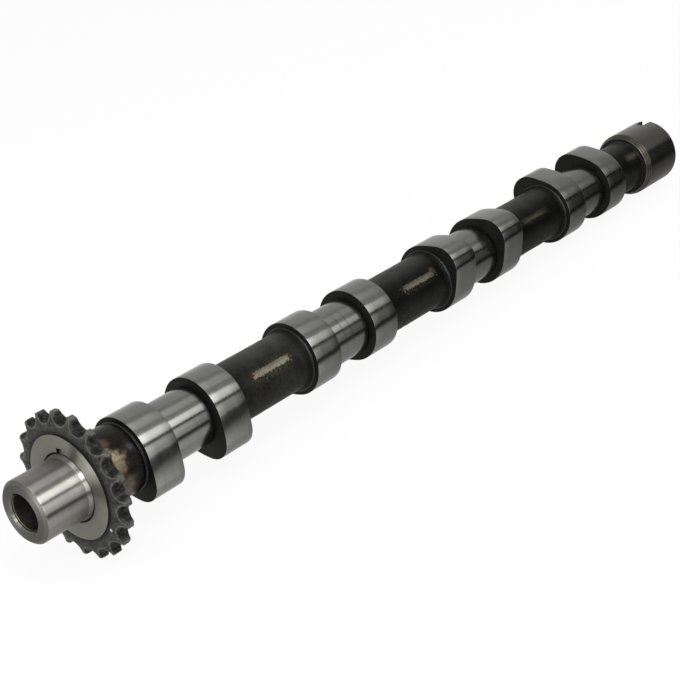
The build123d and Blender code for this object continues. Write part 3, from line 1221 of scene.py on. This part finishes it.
@dataclass
class CamLobes:
    """The eight lobes: one three-arc lobe, set out along the shaft in firing order."""

    shelf: FinishShelf
    casting: Casting
    base_radius: float = 15.8
    lift: float = 4.0
    nose_radius: float = 9.8
    flank_radius: float = 54.0
    rim: float = 0.28
    rim_round: tuple[Point, ...] = ((0.0, 1.0), (0.12, 0.45), (0.45, 0.12), (1.0, 0.0))
    first_nose: float = 230.5
    firing_order: tuple[int, ...] = (0, 3, 1, 2)
    arc_step: float = 2.0

    def _outline(self) -> list[tuple[Point, Point]]:
        """Returns places and outward directions round the profile, with its nose on +Y."""
        nose_centre = self.base_radius + self.lift - self.nose_radius
        to_base = self.flank_radius - self.base_radius
        to_nose = self.flank_radius - self.nose_radius
        flank_x = (to_base**2 - to_nose**2 + nose_centre**2) / (2 * nose_centre)
        flank_y = -sqrt(to_base**2 - flank_x**2)
        leaves = degrees(atan2(-flank_y, -flank_x))
        reaches = degrees(atan2(-flank_y, nose_centre - flank_x))
        half: list[tuple[Point, Point]] = []
        arcs = (
            (0.0, 0.0, self.base_radius, 180.0, leaves),
            (flank_x, flank_y, self.flank_radius, leaves, reaches),
            (nose_centre, 0.0, self.nose_radius, reaches, 0.0),
        )
        for centre_x, centre_y, radius, start, end in arcs:
            size = sqrt(radius / self.base_radius)
            steps = max(6, ceil(abs(start - end) / self.arc_step * size))
            for k in range(steps):
                turn = radians(start + (end - start) * k / steps)
                out = (cos(turn), sin(turn))
                half.append(((centre_x + radius * out[0], centre_y + radius * out[1]), out))
        tip = ((self.base_radius + self.lift, 0.0), (1.0, 0.0))
        other = [((x, -y), (u, -v)) for (x, y), (u, v) in reversed(half[1:])]
        return [*half, tip, *other]

    def _blank(self) -> Piece:
        """Returns one closed lobe with rounded rims, its front face at x = 0."""
        width = self.casting.lobe_width
        rounding = [(x * self.rim, -inset * self.rim) for x, inset in self.rim_round]
        rows = [*rounding, (width / 3, 0.0), (2 * width / 3, 0.0)]
        rows += [(width - x, inset) for x, inset in reversed(rounding)]
        outline = self._outline()
        count = len(outline)
        vertices, rings = [Vector((0, 0, 0))], []
        for x, inset in rows:
            rings.append(list(range(len(vertices), len(vertices) + count)))
            vertices += [
                Vector((x, y + inset * u, z + inset * v)) * MM for (y, z), (u, v) in outline
            ]
        vertices.append(Vector((width, 0, 0)) * MM)
        faces = band([0] * count, rings[0])
        ground = [False] * count
        for row, (ring, after) in enumerate(zip(rings, rings[1:])):
            faces += band(ring, after)
            ground += [1 < row < len(rows) - 3] * count
        end, last = len(vertices) - 1, rings[-1]
        faces += [[end, last[k], last[(k + 1) % count]] for k in range(count)]
        ground += [False] * count
        blank = new_object("cam_lobes", vertices, faces)
        tag_faces(blank, "ground", ground)
        return blank

    def build(self) -> Piece:
        """Returns all the lobes as one mesh."""
        casting = self.casting
        recipe = GeometryRecipe("lobes_in_firing_order")
        count = recipe.size("Lobes", 2 * casting.cylinders)
        first_x = recipe.size("First lobe", casting.first_pair * MM)
        cylinder_pitch = recipe.size("Cylinder pitch", casting.cylinder_pitch * MM)
        lobe_pitch = recipe.size("Lobe pitch", (casting.pair_length - casting.lobe_width) * MM)
        first_nose = recipe.size("First nose", radians(self.first_nose))
        quarter = recipe.size("Quarter turn", radians(360 / casting.cylinders))
        index = recipe.result("GeometryNodeInputIndex")
        cylinder = recipe.math("FLOOR", recipe.math("DIVIDE", index, 2.0))
        second = recipe.math("MODULO", index, 2.0)
        x = recipe.math("MULTIPLY_ADD", cylinder, cylinder_pitch, first_x)
        x = recipe.math("MULTIPLY_ADD", second, lobe_pitch, x)
        fires = recipe.add("GeometryNodeIndexSwitch", {"Index": cylinder}, data_type="FLOAT")
        while len(fires.index_switch_items) < casting.cylinders:
            fires.index_switch_items.new()
        for k, order in enumerate(self.firing_order):
            fires.inputs[k + 1].default_value = order
        turn = recipe.math("SUBTRACT", first_nose, recipe.product(fires.outputs[0], quarter))
        line = recipe.result("GeometryNodeMeshLine", {"Count": count})
        inputs = {"Geometry": line, "Position": recipe.result("ShaderNodeCombineXYZ", {"X": x})}
        points = recipe.result("GeometryNodeSetPosition", inputs)
        lobes = recipe.copies(points, recipe.geometry, turn)
        dressed = recipe.dress(lobes, self.shelf.get(Finish.CHEEK))
        dressed = recipe.dress(dressed, self.shelf.get(Finish.LOBE), only="ground")
        piece = self._blank()
        recipe.run(piece, dressed)
        return finish_piece(piece, crease=35)


@dataclass
class NoseThread:
    """Thread of the bolt hole, as the helical ridge that stands in from its major diameter.

    Half the ridge's width at its root and at its crest are shares of the pitch.
    """

    shelf: FinishShelf
    pitch: float = 1.5
    major_radius: float = 7.1
    minor_radius: float = 6.25
    start: float = 1.5
    end: float = 27.0
    steps_per_turn: int = 64
    half_root: float = 0.44
    half_crest: float = 0.09

    def build(self) -> Piece:
        """Returns the ridge as one mesh."""
        recipe = GeometryRecipe("helical_ridge")
        turns = recipe.size("Turns", (self.end - self.start) / self.pitch)
        height = recipe.size("Length", (self.end - self.start) * MM)
        radius = recipe.size("Major radius", self.major_radius * MM)
        steps = recipe.size("Steps per turn", self.steps_per_turn)
        depth = recipe.size("Ridge height", (self.major_radius - self.minor_radius) * MM)
        root = recipe.size("Half root", self.half_root * self.pitch * MM)
        crest = recipe.size("Half crest", self.half_crest * self.pitch * MM)
        inputs = {
            "Resolution": steps,
            "Rotations": turns,
            "Start Radius": radius,
            "End Radius": radius,
            "Height": height,
        }
        helix = recipe.result("GeometryNodeCurveSpiral", inputs)
        upright = recipe.result("GeometryNodeSetCurveNormal", {0: helix}, mode="Z_UP")
        section = recipe.add("GeometryNodeCurvePrimitiveQuadrilateral", mode="POINTS")
        inward = recipe.product(depth, -1.0)
        corners = (
            (0.0, recipe.product(root, -1.0)),
            (inward, recipe.product(crest, -1.0)),
            (inward, crest),
            (0.0, root),
        )
        for k, (along, across) in enumerate(corners):
            corner = recipe.result("ShaderNodeCombineXYZ", {"X": along, "Y": across})
            recipe.tree.links.new(corner, section.inputs[f"Point {k + 1}"])
        inputs = {"Curve": upright, "Profile Curve": section.outputs[0], "Fill Caps": True}
        ridge = recipe.result("GeometryNodeCurveToMesh", inputs)
        inputs = {
            "Geometry": ridge,
            "Rotation": (0, pi / 2, 0),
            "Translation": (self.start * MM, 0, 0),
        }
        laid = recipe.result("GeometryNodeTransform", inputs)
        real = recipe.result("GeometryNodeRealizeInstances", {"Geometry": laid})
        piece = new_object("nose_thread", [], [])
        recipe.run(piece, recipe.dress(real, self.shelf.get(Finish.THREAD)))
        return finish_piece(piece, crease=25)


# --------------------------------------------------------------------------------------------
# The sprocket and its key


@dataclass
class SectorMesh:
    """Mesh of half a tooth sector: its faced faces, how much lighter its points are made, partly a
    painted highlight, and how much painted shade they get.
    """

    vertices: list[Vector] = field(default_factory=list)
    rub_and_highlight: list[float] = field(default_factory=list)
    recess_shade: list[float] = field(default_factory=list)
    faces: list[list[int]] = field(default_factory=list)
    faced: list[bool] = field(default_factory=list)

    def put(
        self, place: Sequence[float], x: float, rub_and_highlight: float = 0.0, recess_shade: float = 0.0
    ) -> int:
        """Adds a vertex at a place of the plane x and returns its number."""
        self.vertices.append(Vector((x, place[0], place[1])) * MM)
        self.rub_and_highlight.append(rub_and_highlight)
        self.recess_shade.append(recess_shade)
        return len(self.vertices) - 1

    def face(self, corners: Iterable[int], faced: bool = False) -> None:
        """Adds a face, of whose corners some may be the same."""
        self.faces.append(list(dict.fromkeys(corners)))
        self.faced.append(faced)

    def strips(self, lines: Sequence[Sequence[int]], faced: bool = False) -> None:
        """Adds the faces between each line of vertices and the next one."""
        for first, second in zip(lines, lines[1:]):
            for corners in zip(first, first[1:], second[1:], second):
                self.face(corners, faced)

    def finish(self, name: str) -> Piece:
        """Returns the mesh as a new object."""
        piece = new_object(name, self.vertices, self.faces)
        tag_faces(piece, "faced", self.faced)
        tag_points(piece, "rub_and_highlight", self.rub_and_highlight)
        tag_points(piece, "recess_shade", self.recess_shade)
        return piece


@dataclass
class Sprocket:
    """Chain wheel: one tooth sector with rolled gap edges, repeated round the shaft.

    The shares in edge_lines are of the depth of a gap's edge, and mark where its mesh has lines.
    Those in body_lines are of the way on from there to the hub or to the tooth's middle.
    """

    shelf: FinishShelf
    casting: Casting
    teeth: int = 19
    chain_pitch: float = 9.525
    roller: float = 6.35
    tip_radius: float = 28.95
    tooth_lead: float = -2.9
    timing_clock: float = 90.0
    rim_front: float = 20.9
    rear: float = 26.2
    bevel_start: float = 24.4
    bevel_depth: float = 1.1
    hub_radius: float = 20.9
    hub_edge: float = 0.2
    bore_chamfer: float = 0.65
    soft: float = 0.06
    seat_ratio: float = 0.505
    gap_edge: float = 0.75
    gap_edge_round: float = 0.12
    recess_shade_fade: float = 0.15
    rear_edge: float = 0.15
    rim_band_middle: float = 1.08
    rim_band_half: float = 0.34
    key_width: float = 3.2
    keyway_floor: float = 5.0
    keyway_roof: float = 15.6
    edge_lines: tuple[float, ...] = (0.0, 0.25, 0.6, 0.9, 1.0, 1.12)
    rim_band_end: float = 1.35
    most_of_room: float = 0.93
    body_lines: tuple[float, ...] = (0.22, 0.48, 0.74, 1.0)
    wall_lines: tuple[float, ...] = (0.12, 0.35, 0.65, 0.88)
    flank_spread: float = 0.8
    seat_steps: int = 18
    flank_steps: int = 9
    hub_steps: int = 8

    @property
    def half_step(self) -> float:
        """Half the angle from one tooth to the next, in degrees."""
        return 180.0 / self.teeth

    def _gap_outline(self) -> list[tuple[Vector, Vector]]:
        """Returns half a tooth gap, from its bottom to the tip: places and ways into the steel."""
        pitch_radius = self.chain_pitch / (2 * sin(pi / self.teeth))
        seat = self.seat_ratio * self.roller
        half_seat = radians(140 - 90 / self.teeth) / 2
        flank = 0.12 * self.roller * (self.teeth + 2)
        roller_centre = Vector((pitch_radius, 0.0))
        made = []
        for k in range(self.seat_steps + 1):
            turn = pi - half_seat * k / self.seat_steps
            way = Vector((cos(turn), sin(turn)))
            made.append((roller_centre + seat * way, way))
        flank_centre = roller_centre + (seat + flank) * made[-1][1]
        end = self._flank_end(flank_centre.x, flank_centre.y, flank)
        for k in range(1, self.flank_steps + 1):
            turn = -half_seat + (end + half_seat) * k / self.flank_steps
            way = Vector((-cos(turn), -sin(turn)))
            made.append((flank_centre - flank * way, way))
        return made

    def _flank_end(self, centre_x: float, centre_y: float, flank: float) -> float:
        """Returns the angle at which a flank arc reaches the tip circle."""
        far = hypot(centre_x, centre_y)
        towards = atan2(-centre_y, -centre_x)
        spread = acos((far**2 + flank**2 - self.tip_radius**2) / (2 * far * flank))
        return min((towards + side * spread + pi) % (2 * pi) - pi for side in (-1, 1))

    def _target(self, k: int, last: int) -> Vector:
        """Returns where line k of the mesh ends: on the hub's circle or the tooth's middle."""
        half = radians(self.half_step)
        if k <= self.hub_steps:
            turn, reach = half * k / self.hub_steps, self.hub_radius
        else:
            rise = (k - self.hub_steps) / (last - self.hub_steps)
            turn = half
            reach = self.hub_radius + (self.tip_radius - self.hub_radius) * rise**self.flank_spread
        return Vector((reach * cos(turn), reach * sin(turn)))

    def _rows(self) -> list[list[tuple[Vector, float]]]:
        """Returns the half sector's lines of places, each with its depth of steel from the gap."""
        outline = self._gap_outline()
        half = radians(self.half_step)
        across = Vector((-sin(half), cos(half)))
        edges = (share * self.gap_edge for share in self.edge_lines)
        depths = (*edges, self.rim_band_middle, self.rim_band_end)
        rows = []
        for k, (start, way) in enumerate(outline):
            room = -start.dot(across) / max(way.dot(across), 0.05)
            held = [min(depth, self.most_of_room * room) for depth in depths]
            row = [(start + way * depth, depth) for depth in held]
            last, depth = row[-1]
            target = self._target(k, len(outline) - 1)
            row += [(last.lerp(target, share), depth + 1.0 + share) for share in self.body_lines]
            rows.append(row)
        rows[-1] = [(place.normalized() * self.tip_radius, depth) for place, depth in rows[-1]]
        return rows

    def _bevel(self, radius: float) -> float:
        """Returns how deep the tooth's bevel lies at a radius."""
        share = max(0.0, (radius - self.bevel_start) / (self.tip_radius - self.bevel_start))
        return self.bevel_depth * share

    def _edge(self, depth: float) -> float:
        """Returns how far a gap's bevelled edge lies below the plane at a depth of steel."""
        drop, soft = self.gap_edge - depth, self.gap_edge_round
        if drop >= soft:
            return drop
        return (drop + soft) ** 2 / (4 * soft) if drop > -soft else 0.0

    def _sector(self) -> Piece:
        """Returns half a sector from gap centre to tooth, open where the next one joins."""
        mesh = SectorMesh()
        rows = self._rows()
        fronts, rears = [], []
        for row in rows:
            front, rear = [], []
            for place, depth in row:
                low = self._bevel(place.length)
                # Gap rims are made lighter, partly a painted highlight; sunken gap edges get
                # painted shade.
                rubbed_and_lit = max(0.0, 1 - abs(depth - self.rim_band_middle) / self.rim_band_half)
                painted_recess_shade = min(1.0, max(0.0, (self.gap_edge - depth) / self.recess_shade_fade))
                front_x = self.rim_front + low + self._edge(depth)
                rear_x = self.rear - low - self.rear_edge * self._edge(4 * depth)
                front.append(mesh.put(place, front_x, rubbed_and_lit, painted_recess_shade))
                rear.append(mesh.put(place, rear_x))
            fronts.append(front)
            rears.append(rear)
        mesh.strips(fronts)
        mesh.strips(rears)
        walls = [[front[0] for front in fronts]]
        for share in self.wall_lines:
            line = []
            for row, front, rear in zip(rows, fronts, rears):
                start, end = mesh.vertices[front[0]].x, mesh.vertices[rear[0]].x
                x = start / MM + share * (end - start) / MM
                # The gap walls get full painted shade.
                line.append(mesh.put(row[0][0], x, recess_shade=1.0))
            walls.append(line)
        walls.append([rear[0] for rear in rears])
        mesh.strips(walls)
        tip, back = fronts[-1], rears[-1]
        rising = (line[-1] for line in reversed(walls[1:-1]))
        mesh.face([tip[0], tip[1], back[1], back[0], *rising])
        mesh.strips([tip[1:], back[1:]])
        self._hub(mesh, [front[-1] for front in fronts], [rear[-1] for rear in rears])
        return mesh.finish("timing_wheel")

    def _hub(self, mesh: SectorMesh, front: Sequence[int], rear: Sequence[int]) -> None:
        """Adds the hub's part of the sector.

        Args:
            mesh: the sector's mesh.
            front: the front plane's vertices, of which the first lie on the hub's circle.
            rear: the same on the rear plane.
        """
        face, bore, chamfer = self.casting.hub_face, self.casting.seat_radius, self.bore_chamfer
        outline = (
            (self.hub_radius, face + self.hub_edge, False),
            (self.hub_radius - self.soft, face + self.soft, False),
            (self.hub_radius - self.hub_edge, face, False),
            (0.5 * (self.hub_radius + bore), face, True),
            (bore + chamfer + 0.05, face, True),
            (bore + chamfer - 0.05, face + self.soft, False),
            (bore, face + chamfer, False),
            (bore, self.rear, False),
        )
        half = radians(self.half_step)
        turns = [half * k / self.hub_steps for k in range(self.hub_steps + 1)]
        line = front[: self.hub_steps + 1]
        for radius, x, faced in outline:
            # The hub's unfaced rings, its edge, the bore's chamfer and the bore, get painted shade.
            recess_shade = 0.0 if faced else 0.8
            spokes = ((radius * cos(turn), radius * sin(turn)) for turn in turns)
            after = [mesh.put(spoke, x, recess_shade=recess_shade) for spoke in spokes]
            mesh.strips([line, after], faced)
            line = after
        mesh.strips([line, rear[: self.hub_steps + 1]])

    def _keyway_cutter(self) -> Piece:
        """Returns the bar that cuts the keyway above the seat."""
        half = self.key_width / 2
        vertices = [
            Vector((x, y, z)) * MM
            for x in (self.casting.hub_face - 1, self.rear + 1)
            for y in (-half, half)
            for z in (self.keyway_floor, self.keyway_roof)
        ]
        faces = [(0, 1, 3, 2), (4, 6, 7, 5), (0, 4, 5, 1), (2, 3, 7, 6), (0, 2, 6, 4), (1, 5, 7, 3)]
        return new_object("keyway_cutter", vertices, faces, [self.shelf.get(Finish.TOOTHED)])

    def build(self) -> Piece:
        """Returns the whole wheel with its keyway cut."""
        recipe = GeometryRecipe("teeth_round_the_wheel")
        teeth = recipe.size("Teeth", self.teeth)
        step = recipe.size("Tooth step", radians(2 * self.half_step))
        first_gap = radians(self.timing_clock + self.tooth_lead + self.half_step)
        first = recipe.size("First gap", first_gap)
        weld = recipe.size("Weld distance", 0.004 * MM)
        inputs = {"Geometry": recipe.geometry, "Scale": (1, 1, -1)}
        other = recipe.result("GeometryNodeTransform", inputs)
        other = recipe.result("GeometryNodeFlipFaces", {0: other})
        whole = recipe.add("GeometryNodeJoinGeometry", {0: recipe.geometry})
        recipe.tree.links.new(other, whole.inputs[0])
        turn = recipe.math("MULTIPLY_ADD", recipe.result("GeometryNodeInputIndex"), step, first)
        line = recipe.result("GeometryNodeMeshLine", {"Count": teeth, "Offset": (0, 0, 0)})
        wheel = recipe.copies(line, whole.outputs[0], turn)
        inputs = {"Geometry": wheel, "Distance": weld}
        dressed = recipe.result("GeometryNodeMergeByDistance", inputs)
        dressed = recipe.dress(dressed, self.shelf.get(Finish.TOOTHED))
        dressed = recipe.dress(dressed, self.shelf.get(Finish.HUB), only="faced")
        piece = self._sector()
        recipe.run(piece, dressed)
        face_outwards(piece)
        cut(piece, self._keyway_cutter())
        shade(piece, crease=32)
        return piece


@dataclass
class Key:
    """Round-ended key in the sprocket's bore."""

    shelf: FinishShelf
    width: float
    length: float = 5.0
    front: float = 20.8
    floor: float = 11.3
    height: float = 3.5
    edge: float = 0.2
    end_steps: int = 16

    def build(self) -> Piece:
        """Returns the key with its top edges broken."""
        half, run = self.width / 2, self.length / 2 - self.width / 2
        middle = self.front + self.length / 2
        roof = self.floor + self.height
        count = 2 * self.end_steps + 2
        vertices: list[Vector] = []
        for z, inset in ((self.floor, 0.0), (roof - self.edge, 0.0), (roof, self.edge)):
            for k in range(count):
                end = 1 if k <= self.end_steps else -1
                turn = pi * (k if end > 0 else k - 1) / self.end_steps - pi / 2
                x = middle + end * run + (half - inset) * cos(turn)
                vertices.append(Vector((x, (half - inset) * sin(turn), z)) * MM)
        low, waist, top = (list(range(k * count, (k + 1) * count)) for k in range(3))
        faces = [low[::-1], top, *band(low, waist), *band(waist, top)]
        return finish_piece(new_object("timing_key", vertices, faces, [self.shelf.get(Finish.KEY)]))


# --------------------------------------------------------------------------------------------
# The studio


@dataclass(frozen=True)
class TentPanel:
    """Strip of the tent along the shaft, between two clock angles.

    Its brightness falls from near, beside the nose, to far, beside the tail. White is 1.
    In front of the nose it is as many times near as ahead says.
    """

    name: str
    start: float
    end: float
    near: float
    far: float
    ahead: float = 1.0


@dataclass
class Tent:
    """Tube of long panels round the shaft, which only its reflections show."""

    radius: float = 600.0
    from_x: float = -2600.0
    to_x: float = 3200.0
    ahead_x: float = -400.0
    near_x: float = 336.0
    far_x: float = 1228.0
    panels: tuple[TentPanel, ...] = (
        TentPanel("below_rear", -151.0, -90.0, 0.90, 0.42),
        TentPanel("below", -90.0, -57.0, 1.12, 0.34),
        TentPanel("table", -57.0, -30.0, 1.60, 0.22),
        TentPanel("table_edge", -30.0, -23.5, 1.10, 0.06),
        TentPanel("low_flag", -23.5, -10.2, 0.10, 0.012),
        TentPanel("side_low", -10.2, 4.0, 1.80, 0.042, 1.8),
        TentPanel("side_high", 4.0, 19.8, 2.50, 0.046, 1.8),
        TentPanel("seam", 19.8, 29.0, 0.02, 0.02),
        TentPanel("softbox_low", 29.0, 38.0, 4.5, 0.25, 1.8),
        TentPanel("softbox", 38.0, 52.2, 5.1, 0.38, 1.8),
        TentPanel("valley", 52.2, 71.0, 0.87, 0.45, 1.3),
        TentPanel("upper_panel", 71.0, 96.0, 1.68, 0.55, 1.8),
        TentPanel("roof_low", 96.0, 112.0, 0.75, 0.72),
        TentPanel("roof", 112.0, 140.0, 1.00, 0.86),
        TentPanel("back", 140.0, 209.0, 0.97, 0.84),
    )
    step: float = 3.0

    def _material(self, panel: TentPanel) -> Material:
        """Returns a panel's glow, which falls off along the shaft."""
        graph = ShaderGraph(f"glow_{panel.name}")
        x = graph.axes()[0]
        along = graph.remap(x, self.near_x * MM, self.far_x * MM)
        ahead = graph.remap(x, self.near_x * MM, self.ahead_x * MM, 1.0, panel.ahead)
        fall = graph.math("POWER", panel.far / panel.near, along)
        strength = graph.product(fall, panel.near, ahead)
        return graph.finish(graph.result("ShaderNodeEmission", {"Strength": strength}))

    def _panel(self, panel: TentPanel) -> None:
        """Hangs one panel."""
        steps = max(2, ceil((panel.end - panel.start) / self.step))
        clocks = [panel.start + (panel.end - panel.start) * k / steps for k in range(steps + 1)]
        ends = (self.from_x, self.to_x)
        vertices = [ring_point(x, self.radius, clock) for clock in clocks for x in ends]
        faces = [(2 * k, 2 * k + 1, 2 * k + 3, 2 * k + 2) for k in range(steps)]
        sheet = new_object(f"tent_{panel.name}", vertices, faces, [self._material(panel)])
        sheet.visible_camera = sheet.visible_diffuse = sheet.visible_shadow = False
        sheet.visible_transmission = sheet.visible_volume_scatter = False

    def build(self) -> None:
        """Hangs every panel."""
        for panel in self.panels:
            self._panel(panel)


@dataclass
class Studio:
    """White surroundings, floor, soft lamp and camera."""

    casting: Casting
    fill: float = 0.85
    lamp_size: float = 900.0
    lamp_place: tuple[float, float, float] = (-150.0, -650.0, 900.0)
    lamp_power: float = 9.0
    floor_half: float = 3000.0
    floor_albedo: float = 0.8
    floor_lift: float = 0.91
    camera_place: tuple[float, float, float] = (-250.66, -419.49, 231.96)
    camera_forward: tuple[float, float, float] = (0.6558, 0.6579, -0.3703)
    camera_up: tuple[float, float, float] = (0.3825, 0.1333, 0.9143)
    lens: float = 80.49
    sensor: float = 36.0
    clip: Point = (10.0, 20000.0)

    def _world(self) -> None:
        """Lights the scene from all round and shows the camera and the metal a white background."""
        world = bpy.data.worlds.new("white_room")
        world.use_nodes = True
        world.node_tree.nodes.clear()
        graph = NodeGraph(world.node_tree)
        rays = graph.add("ShaderNodeLightPath").outputs
        seen = graph.math("MAXIMUM", rays["Is Camera Ray"], rays["Is Glossy Ray"])
        seen = graph.math("MAXIMUM", seen, rays["Is Transmission Ray"])
        strength = graph.math("ADD", graph.product(seen, 1.0 - self.fill), self.fill)
        sky = graph.result("ShaderNodeBackground", {"Color": WHITE, "Strength": strength})
        graph.add("ShaderNodeOutputWorld", {"Surface": sky})
        bpy.context.scene.world = world

    def _floor(self) -> None:
        """Lays the table that the sprocket and the tail journal rest on."""
        low_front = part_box("timing_sprocket")[0].z
        front_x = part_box("timing_sprocket")[1].x
        rear_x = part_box("camshaft")[1].x
        rise = (-self.casting.tail_radius * MM - low_front) / (rear_x - front_x)
        half = self.floor_half * MM
        corners = ((-half, -half), (half, -half), (half, half), (-half, half))
        vertices = [Vector((x, y, low_front + rise * (x - front_x))) for x, y in corners]
        graph = ShaderGraph("white_table")
        albedo = (*(self.floor_albedo,) * 3, 1.0)
        cloth = graph.result("ShaderNodeBsdfDiffuse", {"Color": albedo})
        glow = graph.result("ShaderNodeEmission", {"Strength": 1.0})
        rays = graph.add("ShaderNodeLightPath").outputs
        lift = graph.product(rays["Is Camera Ray"], self.floor_lift)
        mixed = graph.result("ShaderNodeMixShader", {0: lift, 1: cloth, 2: glow})
        floor = new_object("table", vertices, [(0, 1, 2, 3)], [graph.finish(mixed)])
        floor.visible_glossy = False

    def _lamp(self) -> None:
        """Hangs one large soft lamp above the camera's side."""
        light = bpy.data.lights.new("soft_lamp", "AREA")
        light.size = self.lamp_size * MM
        light.energy = self.lamp_power
        lamp = bpy.data.objects.new("soft_lamp", light)
        lamp.location = Vector(self.lamp_place) * MM
        middle = Vector((sum(c.x for c in CAD_BOX) / 2, 0, 0))
        lamp.rotation_euler = (middle - lamp.location).to_track_quat("-Z", "Y").to_euler()
        lamp.visible_glossy = False
        bpy.context.scene.collection.objects.link(lamp)

    def _camera(self) -> None:
        """Sets up the camera."""
        lens = bpy.data.cameras.new("camera")
        lens.lens = self.lens
        lens.sensor_width = self.sensor
        lens.clip_start, lens.clip_end = self.clip[0] * MM, self.clip[1] * MM
        camera = bpy.data.objects.new("camera", lens)
        forward = Vector(self.camera_forward).normalized()
        right = forward.cross(Vector(self.camera_up)).normalized()
        up = right.cross(forward)
        turn = Matrix((right, up, -forward)).transposed().to_4x4()
        camera.matrix_world = Matrix.Translation(Vector(self.camera_place) * MM) @ turn
        bpy.context.scene.collection.objects.link(camera)
        bpy.context.scene.camera = camera

    def build(self) -> None:
        """Sets up everything round the object."""
        bpy.context.scene.view_settings.view_transform = "Standard"
        self._camera()
        self._world()
        self._floor()
        self._lamp()
        Tent().build()


# --------------------------------------------------------------------------------------------


def hand_over(piece: Piece, slot: Slot, *nodes: str) -> None:
    """Puts a finished piece on its body and hides the CAD nodes that it stands for.

    Args:
        piece: the finished piece.
        slot: the record's slot for its finish; not used.
        nodes: the CAD nodes that it replaces.
    """
    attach(piece, BODY)
    if nodes:
        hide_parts(*nodes)
    LOG.info("%s: %d faces", piece.name, len(piece.data.polygons))


def main() -> None:
    """Builds the camshaft and the studio round it."""
    logging.basicConfig(level=logging.INFO, format="%(name)s: %(message)s")
    shelf = FinishShelf()
    casting = Casting(shelf)
    hand_over(casting.build(), Slot.CASTING, "camshaft")
    hand_over(CamLobes(shelf, casting).build(), Slot.CASTING, "camshaft")
    hand_over(NoseThread(shelf).build(), Slot.CASTING, "camshaft")
    sprocket = Sprocket(shelf, casting)
    hand_over(sprocket.build(), Slot.SPROCKET, "timing_sprocket")
    hand_over(Key(shelf, sprocket.key_width).build(), Slot.KEY, "sprocket_key")
    Studio(casting).build()


if __name__ == "__main__":
    main()
